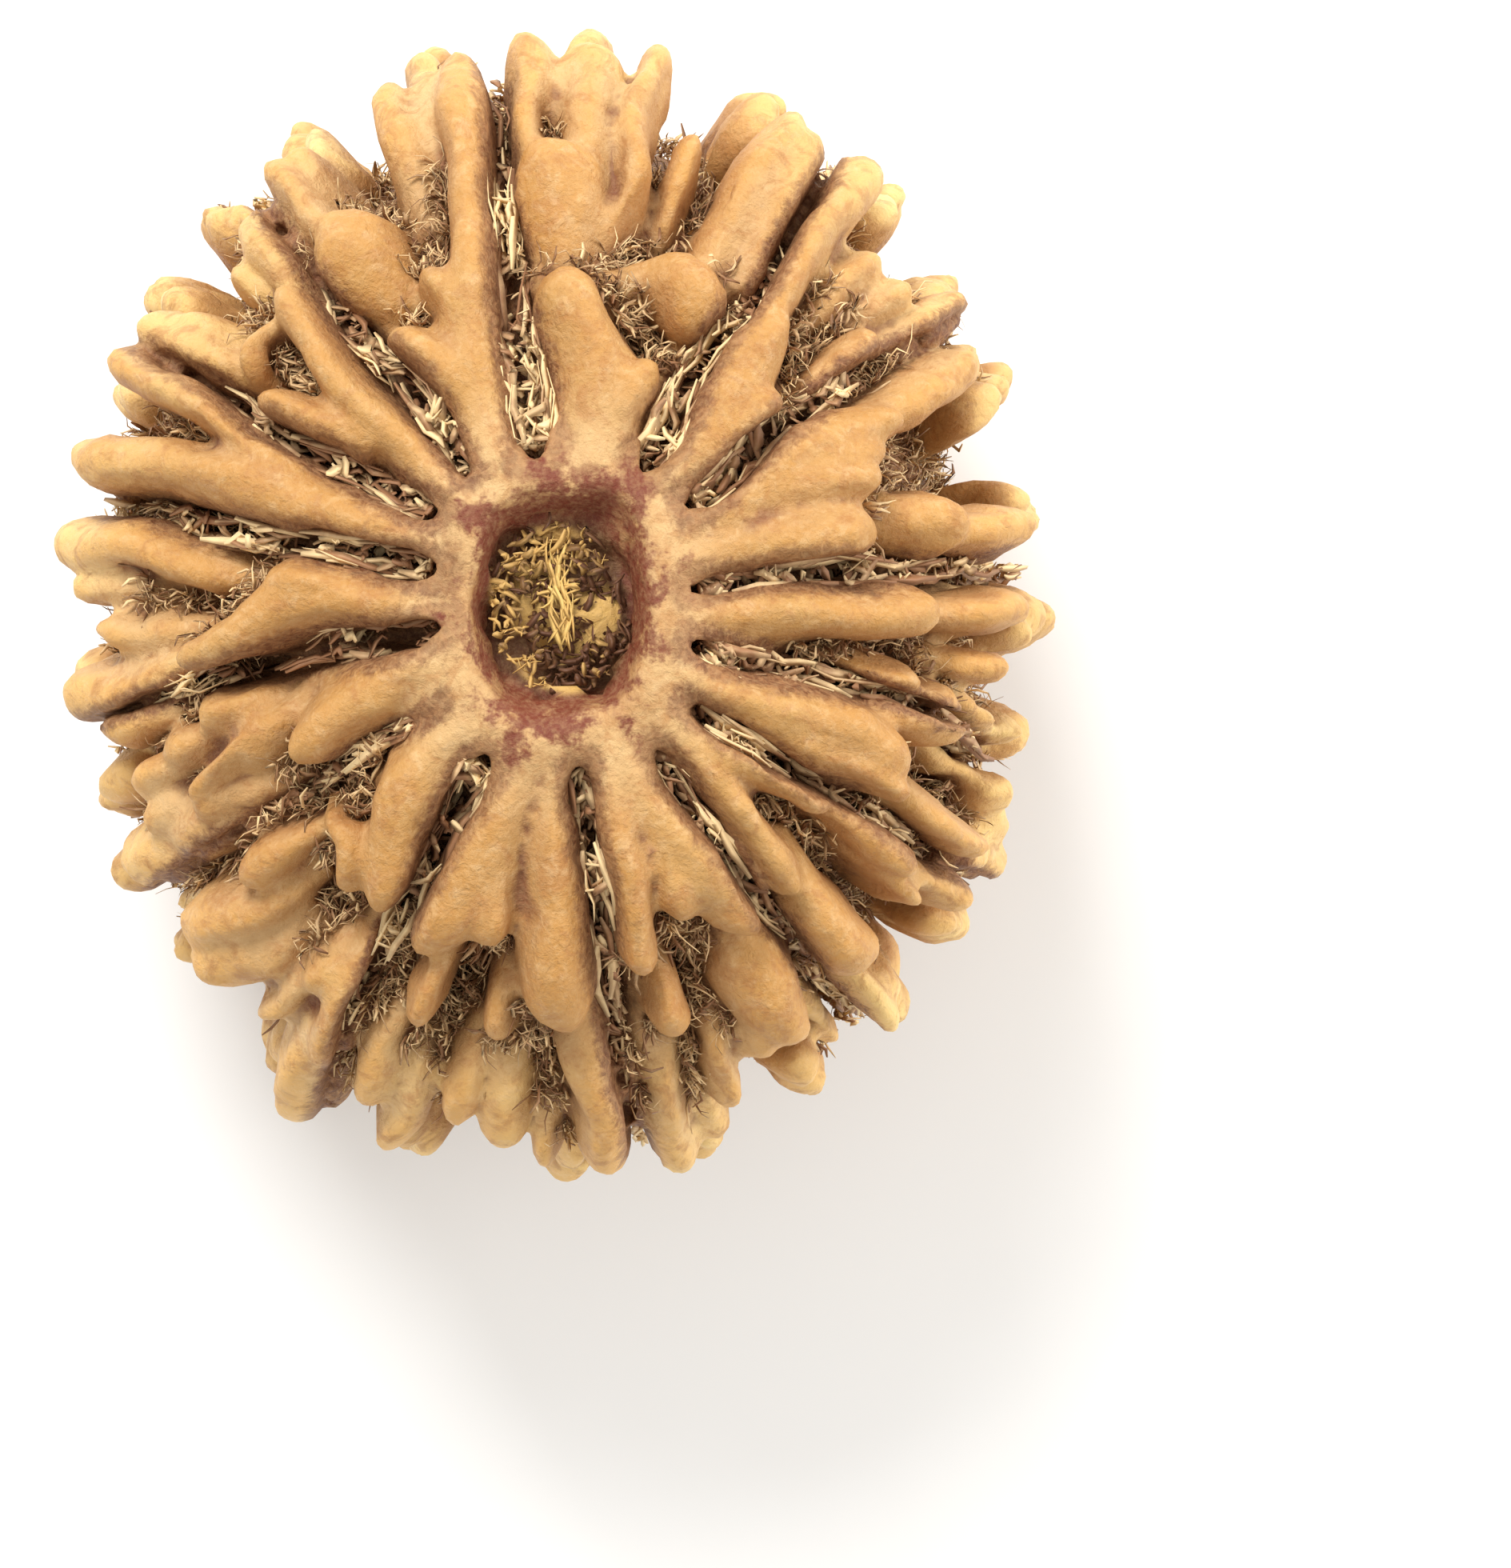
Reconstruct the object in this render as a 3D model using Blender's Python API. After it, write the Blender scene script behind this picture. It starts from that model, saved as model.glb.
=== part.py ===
"""A rudraksha bead: the fourteen-cleft stone of an Elaeocarpus fruit, standing on one pole.

Lengths are in millimetres in this file and become metres when a mesh is made. The bead's poles lie
on the Z axis, its oval waist is widest along Y, and it rests on z = 0. A bearing is an angle in
degrees about the axis, from +X towards +Y. A reach is a distance from the axis. A rise says how
high a point stands between the core, at 0, and the outline of the lobes' tips, at 1.
"""

import math
import random

import bmesh
import bpy
from mathutils import Vector, noise

MM = 0.001

# The outline of the lobes' tips, and how far it stands off the core at the waist and at the poles.
TIP_X, TIP_Y, TIP_Z = 14.4, 16.8, 12.8
RISE_WAIST, RISE_POLE = 4.0, 2.7
OUTLINE_POWER = 2.2

# Each pole has a smooth plateau, with a shallow pit where the stalk's pith has dried away.
PLATEAU_REACH, PLATEAU_RISE = 5.8, 0.93
PIT_X, PIT_Y, PIT_DEPTH = 2.1, 2.7, 1.6

# Clefts: bearing near the pole, half way out and at the waist, reach of the inner end, and width
# of the slot near the pole and at the waist. The slot narrows to its seam at the waist over the
# share CLEFT_CLOSING of a quarter turn, and its floor climbs with it.
CLEFTS = (
    (98.5, 98, 96.5, 4.0, 1.5, 0.4), (59.5, 58.5, 57.8, 4.2, 1.35, 0.35),
    (38, 38, 33.2, 4.3, 1.35, 0.3), (10, 6, 4, 3.4, 1.05, 0.35), (342, 345, 337.5, 3.6, 1.0, 0.3),
    (321, 325.5, 327.5, 4.2, 0.75, 0.3), (303, 304.5, 305, 4.4, 0.9, 0.35),
    (275, 277, 279, 4.2, 1.15, 0.4), (245, 243, 245.2, 4.4, 1.3, 0.35),
    (221, 215, 215.5, 3.8, 0.5, 0.3), (189.5, 192, 197.5, 3.1, 1.2, 0.35),
    (163, 167, 167, 3.4, 1.15, 0.35), (143, 148, 148.8, 4.1, 1.15, 0.3),
    (123, 126, 126.5, 4.2, 1.0, 0.35),
)
CLEFT_CLOSING = 0.7
CLEFT_FLOOR_RISES = (-0.1, 0.25)

# Lobes of the upper half: stations of bearing, reach and width, from the root to the tip.
# The crown's teeth and ridges grow out of the plateau, segment by segment between the clefts.
CROWN = (
    ((80, 3.4, 1.8), (80.5, 5.8, 2.8), (86, 7.4, 2.2), (88.5, 8.5, 1.6)),
    ((73, 4.2, 1.5), (69, 6.0, 1.3)), ((50, 3.9, 1.4), (49, 6.0, 2.1), (50, 7.6, 2.2), (53, 9.2, 1.2)),
    ((46, 5.2, 1.6), (44.5, 6.5, 1.6), (42, 7.3, 1.0)),
    ((53.5, 8.2, 1.3), (55, 10.6, 1.4), (54.5, 12.6, 1.8), (54.5, 14.2, 1.6)),
    ((31, 4.0, 1.3), (31.5, 6.6, 1.8), (31, 8.4, 1.5), (29.7, 9.8, 0.9)),
    ((29, 6.2, 1.8), (26.5, 8.8, 1.2)),
    ((30, 4.4, 1.3), (27.5, 6.4, 2.0), (24, 7.6, 1.6), (21.2, 8.2, 1.0)),
    ((20, 3.0, 1.8), (19, 4.8, 2.3), (14.5, 6.6, 2.2), (12.3, 7.9, 1.4)),
    ((356, 3.0, 1.5), (358, 6.0, 1.5), (359.5, 8.2, 1.5), (359.5, 9.6, 1.5)),
    ((331, 3.4, 1.3), (334, 5.6, 1.9), (336.5, 7.6, 2.1), (335, 9.5, 1.2)),
    ((335, 6.0, 1.8), (338.8, 8.3, 1.1)), ((330, 5.6, 1.2), (330.5, 8.0, 1.2), (331.5, 9.7, 0.9)),
    ((317, 3.8, 1.4), (319.5, 5.6, 1.5), (322, 7.0, 1.3), (323.2, 8.1, 0.9)),
    ((313, 3.7, 1.2), (313, 6.2, 1.0), (311, 8.0, 0.9), (310.3, 9.2, 0.9)),
    ((292, 3.6, 1.5), (295.5, 6.2, 2.0), (299.5, 8.0, 2.3), (302, 9.4, 1.3)),
    ((292, 6.4, 1.4), (293, 8.3, 1.2)),
    ((287, 3.5, 1.5), (285, 6.0, 1.8), (284, 8.0, 1.2), (283, 9.2, 0.9)),
    ((267, 3.4, 1.6), (266.5, 6.0, 1.8), (268.5, 8.4, 2.1), (270.5, 10.8, 2.1)),
    ((256, 3.4, 1.7), (254, 5.6, 2.2), (251, 7.4, 2.5), (247.5, 9.1, 1.4)),
    ((257, 6.4, 1.4), (257.5, 8.2, 1.2)),
    ((229, 3.6, 1.7), (230.5, 5.6, 2.4), (234, 7.2, 2.1), (238, 8.7, 1.1)),
    ((200, 3.3, 1.4), (203, 5.0, 2.1), (206, 6.4, 1.9), (209, 7.2, 1.0)),
    ((178, 3.2, 1.6), (178, 5.2, 2.2), (180.5, 7.2, 2.1), (185, 8.5, 1.5), (188.3, 9.6, 0.8)),
    ((176, 5.4, 1.6), (174.5, 6.9, 1.2)),
    ((156, 3.5, 1.6), (157, 6.0, 2.1), (158.5, 8.4, 2.2), (161, 10.8, 1.5), (163, 13.6, 1.6)),
    ((155, 7.2, 1.7), (152.5, 9.6, 1.2), (152, 11.6, 1.2), (151.5, 13.2, 1.3)),
    ((133, 3.5, 1.5), (135, 5.4, 1.8), (134.5, 7.4, 1.3), (132.8, 9.2, 1.1), (131.5, 10.6, 1.2)),
    ((139, 6.4, 1.5), (142, 8.0, 1.3), (145, 9.1, 1.0)),
    ((111, 3.4, 1.9), (112.5, 5.8, 2.8), (108, 7.6, 2.5),
     (104, 9.6, 1.4), (102.5, 12.0, 1.3), (100.5, 15.0, 1.7)),
    ((115, 5.6, 1.8), (119, 6.9, 1.6), (122, 7.7, 1.1)), ((109, 7.6, 1.4), (111.5, 8.9, 1.0)),
)

# Fat lobes and fingers that stand at full height over nearly their whole length.
BULGES = (
    ((66.5, 11.0, 2.3), (67, 9.7, 2.6), (63.5, 7.6, 1.5)),
    ((89.5, 9.3, 2.3), (89.5, 10.8, 2.9), (91, 12.4, 2.3)),
    ((91.5, 11.6, 1.8), (93.8, 13.2, 1.2), (92.5, 14.6, 1.7), (92.7, 15.4, 1.3)),
    ((86, 11.0, 1.8), (85.5, 12.6, 1.6), (86.5, 14.2, 2.2), (86.5, 15.2, 1.7)),
    ((85, 10.2, 1.0), (80.5, 11.4, 1.0), (81, 13.2, 1.2), (79.3, 15.2, 1.1)),
    ((67, 10.8, 1.6), (65, 12.6, 1.8), (63.7, 14.6, 1.4)),
    ((62, 10.6, 1.3), (60.8, 12.4, 1.5), (60.6, 14.2, 1.2)),
    ((31, 9.4, 1.4), (30.5, 11.4, 1.7), (30, 13.0, 1.6)),
    ((17, 8.6, 1.5), (13.5, 10.0, 2.0), (10.5, 11.0, 1.7)),
    ((11, 10.8, 1.4), (10, 12.0, 1.8), (8.8, 13.2, 1.7)),
    ((359.5, 9.6, 1.1), (358.5, 11.2, 1.2), (358.5, 12.4, 1.1)),
    ((341, 8.8, 1.2), (343, 10.2, 1.5), (344, 11.4, 1.5)),
    ((333.5, 9.8, 1.2), (331.5, 11.6, 1.2), (330.5, 13.2, 1.0)),
    ((321, 8.0, 1.1), (322.5, 9.8, 1.2), (323.5, 11.3, 1.0)),
    ((313, 8.8, 1.2), (311, 10.6, 1.7), (310, 12.8, 1.7)),
    ((299, 9.8, 1.8), (298.5, 11.4, 2.4), (300, 13.4, 1.4)), ((285, 10.0, 1.2), (284.5, 11.5, 1.4)),
    ((272, 11.2, 1.8), (274, 13.0, 2.1), (275.5, 15.6, 1.7)),
    ((253, 8.9, 1.0), (251, 10.2, 1.0), (250, 11.3, 0.9)),
    ((239.5, 10.4, 1.4), (240.5, 12.0, 1.5), (241.5, 13.9, 1.1)),
    ((238, 12.6, 1.4), (240, 14.4, 1.9), (242.5, 16.2, 1.6)),
    ((231, 11.2, 1.5), (228, 12.8, 2.4), (223.5, 13.8, 2.1)),
    ((228.5, 10.0, 1.1), (225, 11.4, 1.4), (219.5, 13.4, 1.7)),
    ((224, 8.6, 1.1), (221.5, 9.8, 1.6), (220, 10.6, 1.1)),
    ((198.5, 8.6, 0.9), (203, 9.2, 0.9), (208.5, 10.8, 0.9)),
    ((217.5, 8.5, 0.9), (222, 8.4, 0.9), (227.5, 8.3, 0.9), (232.5, 9.1, 0.9)),
    ((174.5, 8.4, 1.0), (173, 10.6, 1.5), (172, 12.4, 1.7), (172.8, 13.8, 1.6)),
    ((188, 10.2, 1.4), (190.5, 12.0, 2.0), (191.3, 13.8, 2.0)),
    ((142.5, 10.2, 1.3), (145, 11.8, 1.8), (146.2, 13.6, 1.4)),
    ((131.5, 10.6, 1.1), (135.5, 10.8, 1.2), (140, 10.6, 1.2), (143.5, 9.9, 1.1)),
    ((131, 10.6, 1.3), (130, 12.0, 1.6), (129.3, 13.4, 1.5)),
    ((115.5, 9.5, 1.9), (119.5, 10.6, 2.7), (121.5, 12.0, 2.1)),
    ((121.5, 11.8, 1.7), (122.5, 13.2, 1.5), (123.5, 14.0, 1.0)),
)

# Lower lobes: they rise out of the valleys, and their tips reach the outline.
SHOULDER = (
    ((49, 9.8, 1.0), (48, 11.4, 1.2), (47.4, 12.6, 1.1)),
    ((42, 8.0, 1.1), (40.8, 9.6, 1.5), (39.5, 10.9, 1.1)),
    ((40.5, 10.4, 1.2), (38.8, 12.0, 1.3), (37.3, 13.6, 1.1)), ((44, 11.0, 0.8), (42.5, 12.4, 0.9)),
    ((350, 7.4, 0.8), (348.5, 9.2, 0.8)), ((347, 9.0, 0.9), (346.5, 10.6, 0.9)),
    ((351, 10.4, 0.8), (352, 12.0, 0.9)), ((321.5, 10.4, 1.1), (323, 12.2, 1.1), (324.4, 13.5, 1.0)),
    ((318.5, 9.8, 0.8), (320.5, 12.0, 0.9)), ((309.5, 11.6, 1.1), (308.3, 14.6, 1.2)),
    ((290.5, 11.6, 1.0), (290, 14.2, 1.2)), ((285, 12.0, 1.2), (283, 14.0, 1.6), (282, 16.0, 1.7)),
    ((295, 11.0, 1.0), (295.5, 13.4, 1.2)), ((264, 11.4, 1.4), (263.5, 13.2, 1.7), (264, 14.6, 1.4)),
    ((260, 11.4, 1.1), (257.5, 13.9, 1.3)), ((268.8, 13.0, 0.8), (268.5, 15.2, 0.8)),
    ((262, 9.6, 1.0), (261.5, 11.2, 1.2)), ((250.5, 11.2, 1.1), (248.5, 13.2, 1.4), (247.5, 14.4, 1.2)),
    ((253, 12.2, 1.2), (252, 15.4, 1.4)), ((238, 10.6, 1.1), (236, 11.6, 1.0)),
    ((232, 10.8, 0.8), (234.5, 12.4, 1.0), (234, 13.6, 1.0)),
    ((217, 9.0, 1.2), (213.5, 10.6, 1.8), (211.5, 12.2, 1.7)),
    ((213.5, 10.6, 1.6), (211.8, 12.4, 2.1), (210.5, 14.2, 2.0)),
    ((213, 8.2, 0.9), (211, 9.8, 1.2), (209.5, 10.8, 0.9)),
    ((197.5, 6.8, 0.9), (201, 8.0, 1.3), (205, 9.2, 1.1)), ((197.5, 8.0, 1.1), (198, 9.4, 1.3)),
    ((200, 9.4, 1.1), (201, 11.0, 1.5)), ((203.5, 10.4, 1.1), (203, 12.3, 1.3)),
    ((207.5, 10.6, 1.1), (208, 12.4, 1.2)), ((195.5, 10.6, 1.1), (195, 12.6, 1.3)),
    ((186, 9.4, 1.1), (184, 11.0, 1.6), (182.7, 12.4, 1.3)), ((177.5, 10.6, 0.9), (177, 13.0, 1.2)),
    ((128.5, 10.6, 1.0), (127.8, 13.4, 1.1)), ((139, 11.0, 0.9), (143, 12.6, 1.0)),
    ((134.5, 11.0, 0.9), (134.5, 12.4, 0.9)), ((119.5, 12.2, 1.3), (119.8, 14.1, 1.1)),
    ((109.5, 10.2, 1.3), (109, 12.6, 1.7), (108.5, 15.0, 1.2)),
    ((106, 10.8, 1.1), (105.5, 13.4, 1.5), (104, 14.8, 1.2)), ((75, 11.4, 0.9), (73.5, 12.8, 0.9)),
)

# Saddles that join lobes across a valley.
SADDLES = (
    ((95, 9.4, 1.3), (86, 9.6, 1.5), (77, 9.7, 1.4), (69, 9.6, 1.5)),
    ((27, 9.0, 1.1), (22, 9.8, 1.2), (16, 9.6, 1.1)),
    ((273, 11.8, 1.3), (267, 12.2, 1.5), (261, 11.8, 1.1)),
    ((236.5, 9.8, 0.8), (240, 10.0, 0.8), (243, 10.0, 0.7)),
    ((286, 9.2, 0.9), (289, 10.0, 0.9), (294, 9.9, 0.9)),
    ((153, 12.2, 1.0), (157, 12.4, 1.1), (161, 12.4, 1.0)),
)

# How the crest climbs from the root to the tip of the lobes of each table.
CROWN_RISES, BULGE_RISES = (0.9, 1.02, 1.1), (0.5, 0.92, 0.98)
SHOULDER_RISES, SADDLE_RISES = (0.1, 0.66, 0.96), (0.6, 0.52, 0.6)

# Lobes of the lower half grow in rows between the clefts: angle from the lower pole to the root and
# to the tip, how many stand side by side, their width and how high they rise. Each strays a little
# in bearing, in the angles of its root and tip, in height and in width.
LOWER_SEED = 14
LOWER_ROWS = (
    (17, 42, 1, 2.2, 0.96), (40, 58, 2, 1.7, 0.95), (54, 74, 2, 1.8, 0.93), (68, 86, 2, 1.7, 0.86),
    (80, 98, 2, 1.6, 0.76), (93, 110, 2, 1.6, 0.72),
)
WIDE_SEGMENT = 30
ROOTS_DRAWN_IN = 0.8
BEARING_STRAY, ROOT_STRAY, TIP_STRAY = 2, 3, 5
HEIGHT_STRAY, WIDTH_STRAY = (0.94, 1.04), (0.85, 1.15)
LOWER_TAPER, LOWER_RISES = (0.8, 1.0, 0.8), (0.6, 1.0, 1.0)

# A low wall follows each side of every cleft from pole to pole.
LIP_RISE, LIP_WAVER, LIP_WIDTH, LIP_OFFSET = 0.46, 0.18, 0.8, 0.7
LIP_END_RISE, LIP_STATIONS = 0.7, 9
LIP_START = 22

# How the fused body is made: voxel, smoothing passes, and the triangles that stay.
VOXEL = 0.3
SMOOTH_PASSES = 5
KEPT_TRIANGLES = 11400
FOOT_CUT = 0.9
CENTRE_Z = TIP_Z - FOOT_CUT

# How growth bends everything a little: how far, over what length, and the seed of its noise.
WARP, WARP_LENGTH, WARP_SEED = 0.32, 2.8, 7

# The section of a lobe: how square it is, how much narrower its crest is than its foot, how deep it
# goes into the core, and how deep its free tip is, also as a share of the tip's half width.
LOBE_SIDES = 16
LOBE_SQUARENESS = 0.88
CREST_NARROWING = 0.16
ROOT_DEPTH, TIP_DEPTH, TIP_FATNESS = 1.2, 1.7, 2.6

# Along a lobe: the length of its round tip in widths, how far smoothing would shorten it, how many
# rings each station gets, and how the rings crowd towards the tip.
TIP_LENGTH, LONGEST_TIP = 0.8, 0.6
TIP_STRETCH = 0.4
STATION_STEPS = 5
RING_CROWDING, FIRST_RING, LAST_RING = 1.5, 0.01, 0.996
HEADING_STEP = 0.03

# The core's grid, and the blades that cut the clefts: half widths at the floor, in the middle and
# at the top as shares of the slot's, and how narrow each end is.
CORE_SIDES, CORE_RINGS = 120, 90
BLADE_STEPS, BLADE_END_STEPS, BLADE_TOP_RISE = 48, 3, 1.6
BLADE_SHARES, BLADE_END_SHARE = (0.5, 0.9, 1.5), 0.2
NUT_COLOUR = (0.55, 0.29, 0.11, 1)


def oval(bearing, across, along):
    """Reach of an oval with these half widths along X and Y, at a bearing in radians."""
    return 1 / math.hypot(math.cos(bearing) / across, math.sin(bearing) / along)


def outline(bearing, rise):
    """Reach at the waist and height at the pole of the outline at a rise, for a bearing in radians."""
    sunk = (1 - rise) * RISE_WAIST
    return oval(bearing, TIP_X - sunk, TIP_Y - sunk), TIP_Z - (1 - rise) * RISE_POLE


def at_reach(bearing, reach, rise):
    """The point of the upper half at a bearing in degrees, a reach and a rise."""
    bearing = math.radians(bearing)
    waist, pole = outline(bearing, rise)
    waist_tips = outline(bearing, 1)[0]
    share = min(reach / waist_tips, 1.0)
    reach = share * waist
    height = pole * (1 - share**OUTLINE_POWER) ** (1 / OUTLINE_POWER)
    return Vector((reach * math.cos(bearing), reach * math.sin(bearing), height))


def at_polar(bearing, polar, rise):
    """The point at a bearing and a polar angle from +Z, both in degrees, and a rise."""
    bearing, polar = math.radians(bearing), math.radians(polar)
    waist, pole = outline(bearing, rise)
    side, up = math.sin(polar), math.cos(polar)
    reciprocal = (side / waist) ** OUTLINE_POWER + (abs(up) / pole) ** OUTLINE_POWER
    distance = reciprocal ** (-1 / OUTLINE_POWER)
    return distance * Vector((side * math.cos(bearing), side * math.sin(bearing), up))


def outward(point):
    """Unit normal of the bead's smooth outline at a point."""
    return Vector((point.x / TIP_X**2, point.y / TIP_Y**2, point.z / TIP_Z**2)).normalized()


def warp_offset(point):
    """How far growth has pushed a point aside."""
    return noise.noise_vector(point / WARP_LENGTH) * WARP


def pit_share(x, y):
    """How far out a point lies from the middle of the pit, 1 on its rim, which is a rounded oblong."""
    return (abs(x / PIT_X) ** 3 + abs(y / PIT_Y) ** 3) ** (1 / 3)


def closed_loft(mesh, rings):
    """Adds to a bmesh the closed skin of these rings of points, each end drawn to its ring's middle."""
    made = [[mesh.verts.new((p + warp_offset(p)) * MM) for p in ring] for ring in rings]
    for low, high in zip(made, made[1:]):
        for i in range(len(low)):
            j = (i + 1) % len(low)
            mesh.faces.new((low[i], low[j], high[j], high[i]))
    for ring, turned in ((made[0], True), (made[-1], False)):
        middle = mesh.verts.new(sum((v.co for v in ring), Vector()) / len(ring))
        for i in range(len(ring)):
            a, b = ring[i], ring[(i + 1) % len(ring)]
            mesh.faces.new((b, a, middle) if turned else (a, b, middle))


def add_core(mesh):
    """Adds the core that the lobes stand on, with the plateau and the pit of each pole."""
    rings = []
    for k in range(1, CORE_RINGS):
        polar = 180 * k / CORE_RINGS
        ring = []
        for i in range(CORE_SIDES):
            bearing = 360 * i / CORE_SIDES
            point = at_polar(bearing, polar, 0)
            reach = math.hypot(point.x, point.y)
            plateau = PLATEAU_RISE * math.exp(-((reach / PLATEAU_REACH) ** 8))
            pit = math.exp(-(pit_share(point.x, point.y) ** 10))
            lift = plateau * RISE_POLE - pit * PIT_DEPTH
            point.z += math.copysign(lift, point.z)
            ring.append(point)
        rings.append(ring)
    closed_loft(mesh, rings)


def along_curve(values, t):
    """Smooth value at t from 0 to 1 through evenly spaced numbers."""
    spans = len(values) - 1
    at = min(max(t, 0.0), 1.0) * spans
    k = min(int(at), spans - 1)
    f = at - k
    p1, p2 = values[k], values[k + 1]
    p0 = values[k - 1] if k > 0 else 2 * p1 - p2
    p3 = values[k + 2] if k + 2 <= spans else 2 * p2 - p1
    return 0.5 * (2 * p1 + (p2 - p0) * f + (2 * p0 - 5 * p1 + 4 * p2 - p3) * f * f
                  + (3 * p1 - p0 - 3 * p2 + p3) * f**3)


def add_lobe(mesh, path, widths, rises, free=0.45):
    """Adds one lobe with its crest at path(t, rise), t from 0 at the root to 1 at the tip.

    The lobe is a wall that goes down into the core. Past the share `free` of its length its
    underside lifts off the core, and its tip is round.
    """
    steps = STATION_STEPS * max(len(widths), 2)

    def crest(t):
        return path(min(max(t, 0.0), 1.0), along_curve(rises, t))

    length = sum((crest((k + 1) / 8) - crest(k / 8)).length for k in range(8))
    cap = min(TIP_LENGTH * widths[-1] / length, LONGEST_TIP)
    rings = []
    for k in range(steps + 1):
        t = min(max(1 - (1 - k / steps) ** RING_CROWDING, FIRST_RING), LAST_RING)
        point = crest(t)
        along = (crest(t + HEADING_STEP) - crest(t - HEADING_STEP)).normalized()
        up = outward(point)
        up = (up - along * up.dot(along)).normalized()
        across = along.cross(up)
        rounding = math.sqrt(1 - max(0.0, (t - 1 + cap) / cap) ** 2)
        half_width = along_curve(widths, t) / 2
        wall = along_curve(rises, t) * RISE_WAIST + ROOT_DEPTH
        tip_depth = min(max(TIP_FATNESS * half_width, TIP_DEPTH), wall)
        loose = max(0.0, (t - free) / (1 - free))
        half_depth = (wall + (tip_depth - wall) * loose) / 2
        centre = point - up * half_depth
        ring = []
        for i in range(LOBE_SIDES):
            turn = 2 * math.pi * i / LOBE_SIDES
            side = math.copysign(abs(math.cos(turn)) ** LOBE_SQUARENESS, math.cos(turn))
            high = math.copysign(abs(math.sin(turn)) ** LOBE_SQUARENESS, math.sin(turn))
            side *= half_width * (1 - CREST_NARROWING * high)
            ring.append(centre + rounding * (across * side + up * high * half_depth))
        rings.append(ring)
    closed_loft(mesh, rings)


def unwrapped(bearings):
    """The same bearings without jumps over 360."""
    whole = [bearings[0]]
    for bearing in bearings[1:]:
        whole.append(whole[-1] + (bearing - whole[-1] + 180) % 360 - 180)
    return whole


def add_upper_lobes(mesh):
    """Adds the lobes of the four tables."""
    tables = (CROWN, BULGES, SHOULDER, SADDLES)
    climbs = (CROWN_RISES, BULGE_RISES, SHOULDER_RISES, SADDLE_RISES)
    for table, rises in zip(tables, climbs):
        for stations in table:
            bearings = unwrapped([s[0] for s in stations])
            reaches = [s[1] for s in stations]
            reaches[-1] += TIP_STRETCH

            def path(t, rise):
                return at_reach(along_curve(bearings, t), along_curve(reaches, t), rise)

            add_lobe(mesh, path, [s[2] for s in stations], rises)


def cleft_bearing(cleft, polar):
    """Bearing of a cleft at a polar angle; below the waist it keeps its last bearing."""
    return along_curve(unwrapped(cleft[:3]), min(polar, 90) / 90)


def add_lower_lobes(mesh):
    """Adds the rows of lobes that cover the sides and the lower half."""
    draw = random.Random(LOWER_SEED)
    bearings = sorted(cleft_bearing(cleft, 90) % 360 for cleft in CLEFTS)
    for start, end in zip(bearings, bearings[1:] + [bearings[0] + 360]):
        room = end - start
        for root_polar, tip_polar, count, width, rise_here in LOWER_ROWS:
            if count == 1 and room > WIDE_SEGMENT:
                count = 2
            for i in range(count):
                share = (i + 0.5) / count
                root_bearing = start + room * (0.5 + (share - 0.5) * ROOTS_DRAWN_IN)
                tip_bearing = start + room * share + draw.uniform(-BEARING_STRAY, BEARING_STRAY)
                bearing = (root_bearing, tip_bearing)
                root_here = 180 - root_polar - draw.uniform(-ROOT_STRAY, ROOT_STRAY)
                tip_here = 180 - tip_polar - draw.uniform(-TIP_STRAY, TIP_STRAY)
                polar = (root_here, tip_here)
                height = rise_here * draw.uniform(*HEIGHT_STRAY)
                broad = width * draw.uniform(*WIDTH_STRAY)

                def path(t, rise):
                    return at_polar(along_curve(bearing, t), along_curve(polar, t), rise * height)

                add_lobe(mesh, path, [broad * share for share in LOWER_TAPER], LOWER_RISES)


def add_lips(mesh):
    """Adds the low wavering walls beside the clefts."""
    draw = random.Random(LOWER_SEED + 1)
    for cleft in CLEFTS:
        for side in (-1, 1):
            rises = [LIP_RISE + draw.uniform(-LIP_WAVER, LIP_WAVER) for _ in range(LIP_STATIONS)]
            rises = [LIP_END_RISE, *rises, LIP_END_RISE]

            def path(t, rise):
                polar = LIP_START + (180 - 2 * LIP_START) * t
                middle = at_polar(cleft_bearing(cleft, polar), polar, rise)
                around = Vector((-middle.y, middle.x, 0)).normalized()
                return middle + around * side * LIP_OFFSET

            add_lobe(mesh, path, [LIP_WIDTH] * 6, rises, free=1.0 - 1e-6)


def add_cleft_blade(mesh, cleft):
    """Adds the thin curved blade, wider at its top, that opens one cleft from pole to pole."""
    inner = math.degrees(math.atan2(cleft[3], TIP_Z))
    rings = []
    for k in range(BLADE_STEPS + 1):
        polar = inner + (180 - 2 * inner) * k / BLADE_STEPS
        bearing = cleft_bearing(cleft, polar)
        closed = min(min(polar, 180 - polar) / 90 / CLEFT_CLOSING, 1.0)
        half = (cleft[4] + (cleft[5] - cleft[4]) * closed) / 2
        from_end = min(k, BLADE_STEPS - k) / BLADE_END_STEPS
        if from_end < 1:
            half *= BLADE_END_SHARE + (1 - BLADE_END_SHARE) * math.sqrt(1 - (1 - from_end) ** 2)
        low, high = CLEFT_FLOOR_RISES
        floor = at_polar(bearing, polar, low + (high - low) * closed)
        top = at_polar(bearing, polar, BLADE_TOP_RISE)
        across = Vector((-floor.y, floor.x, 0)).normalized() * half
        levels = list(zip((floor, (floor + top) / 2, top), BLADE_SHARES))
        ring = [point + across * share for point, share in levels]
        ring += [point - across * share for point, share in reversed(levels)]
        rings.append(ring)
    closed_loft(mesh, rings)


def new_object(name, build):
    """An object whose mesh build(bmesh) fills, with its faces turned outwards."""
    shape = bmesh.new()
    build(shape)
    bmesh.ops.recalc_face_normals(shape, faces=shape.faces)
    mesh = bpy.data.meshes.new(name)
    shape.to_mesh(mesh)
    shape.free()
    made = bpy.data.objects.new(name, mesh)
    bpy.context.scene.collection.objects.link(made)
    return made


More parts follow.
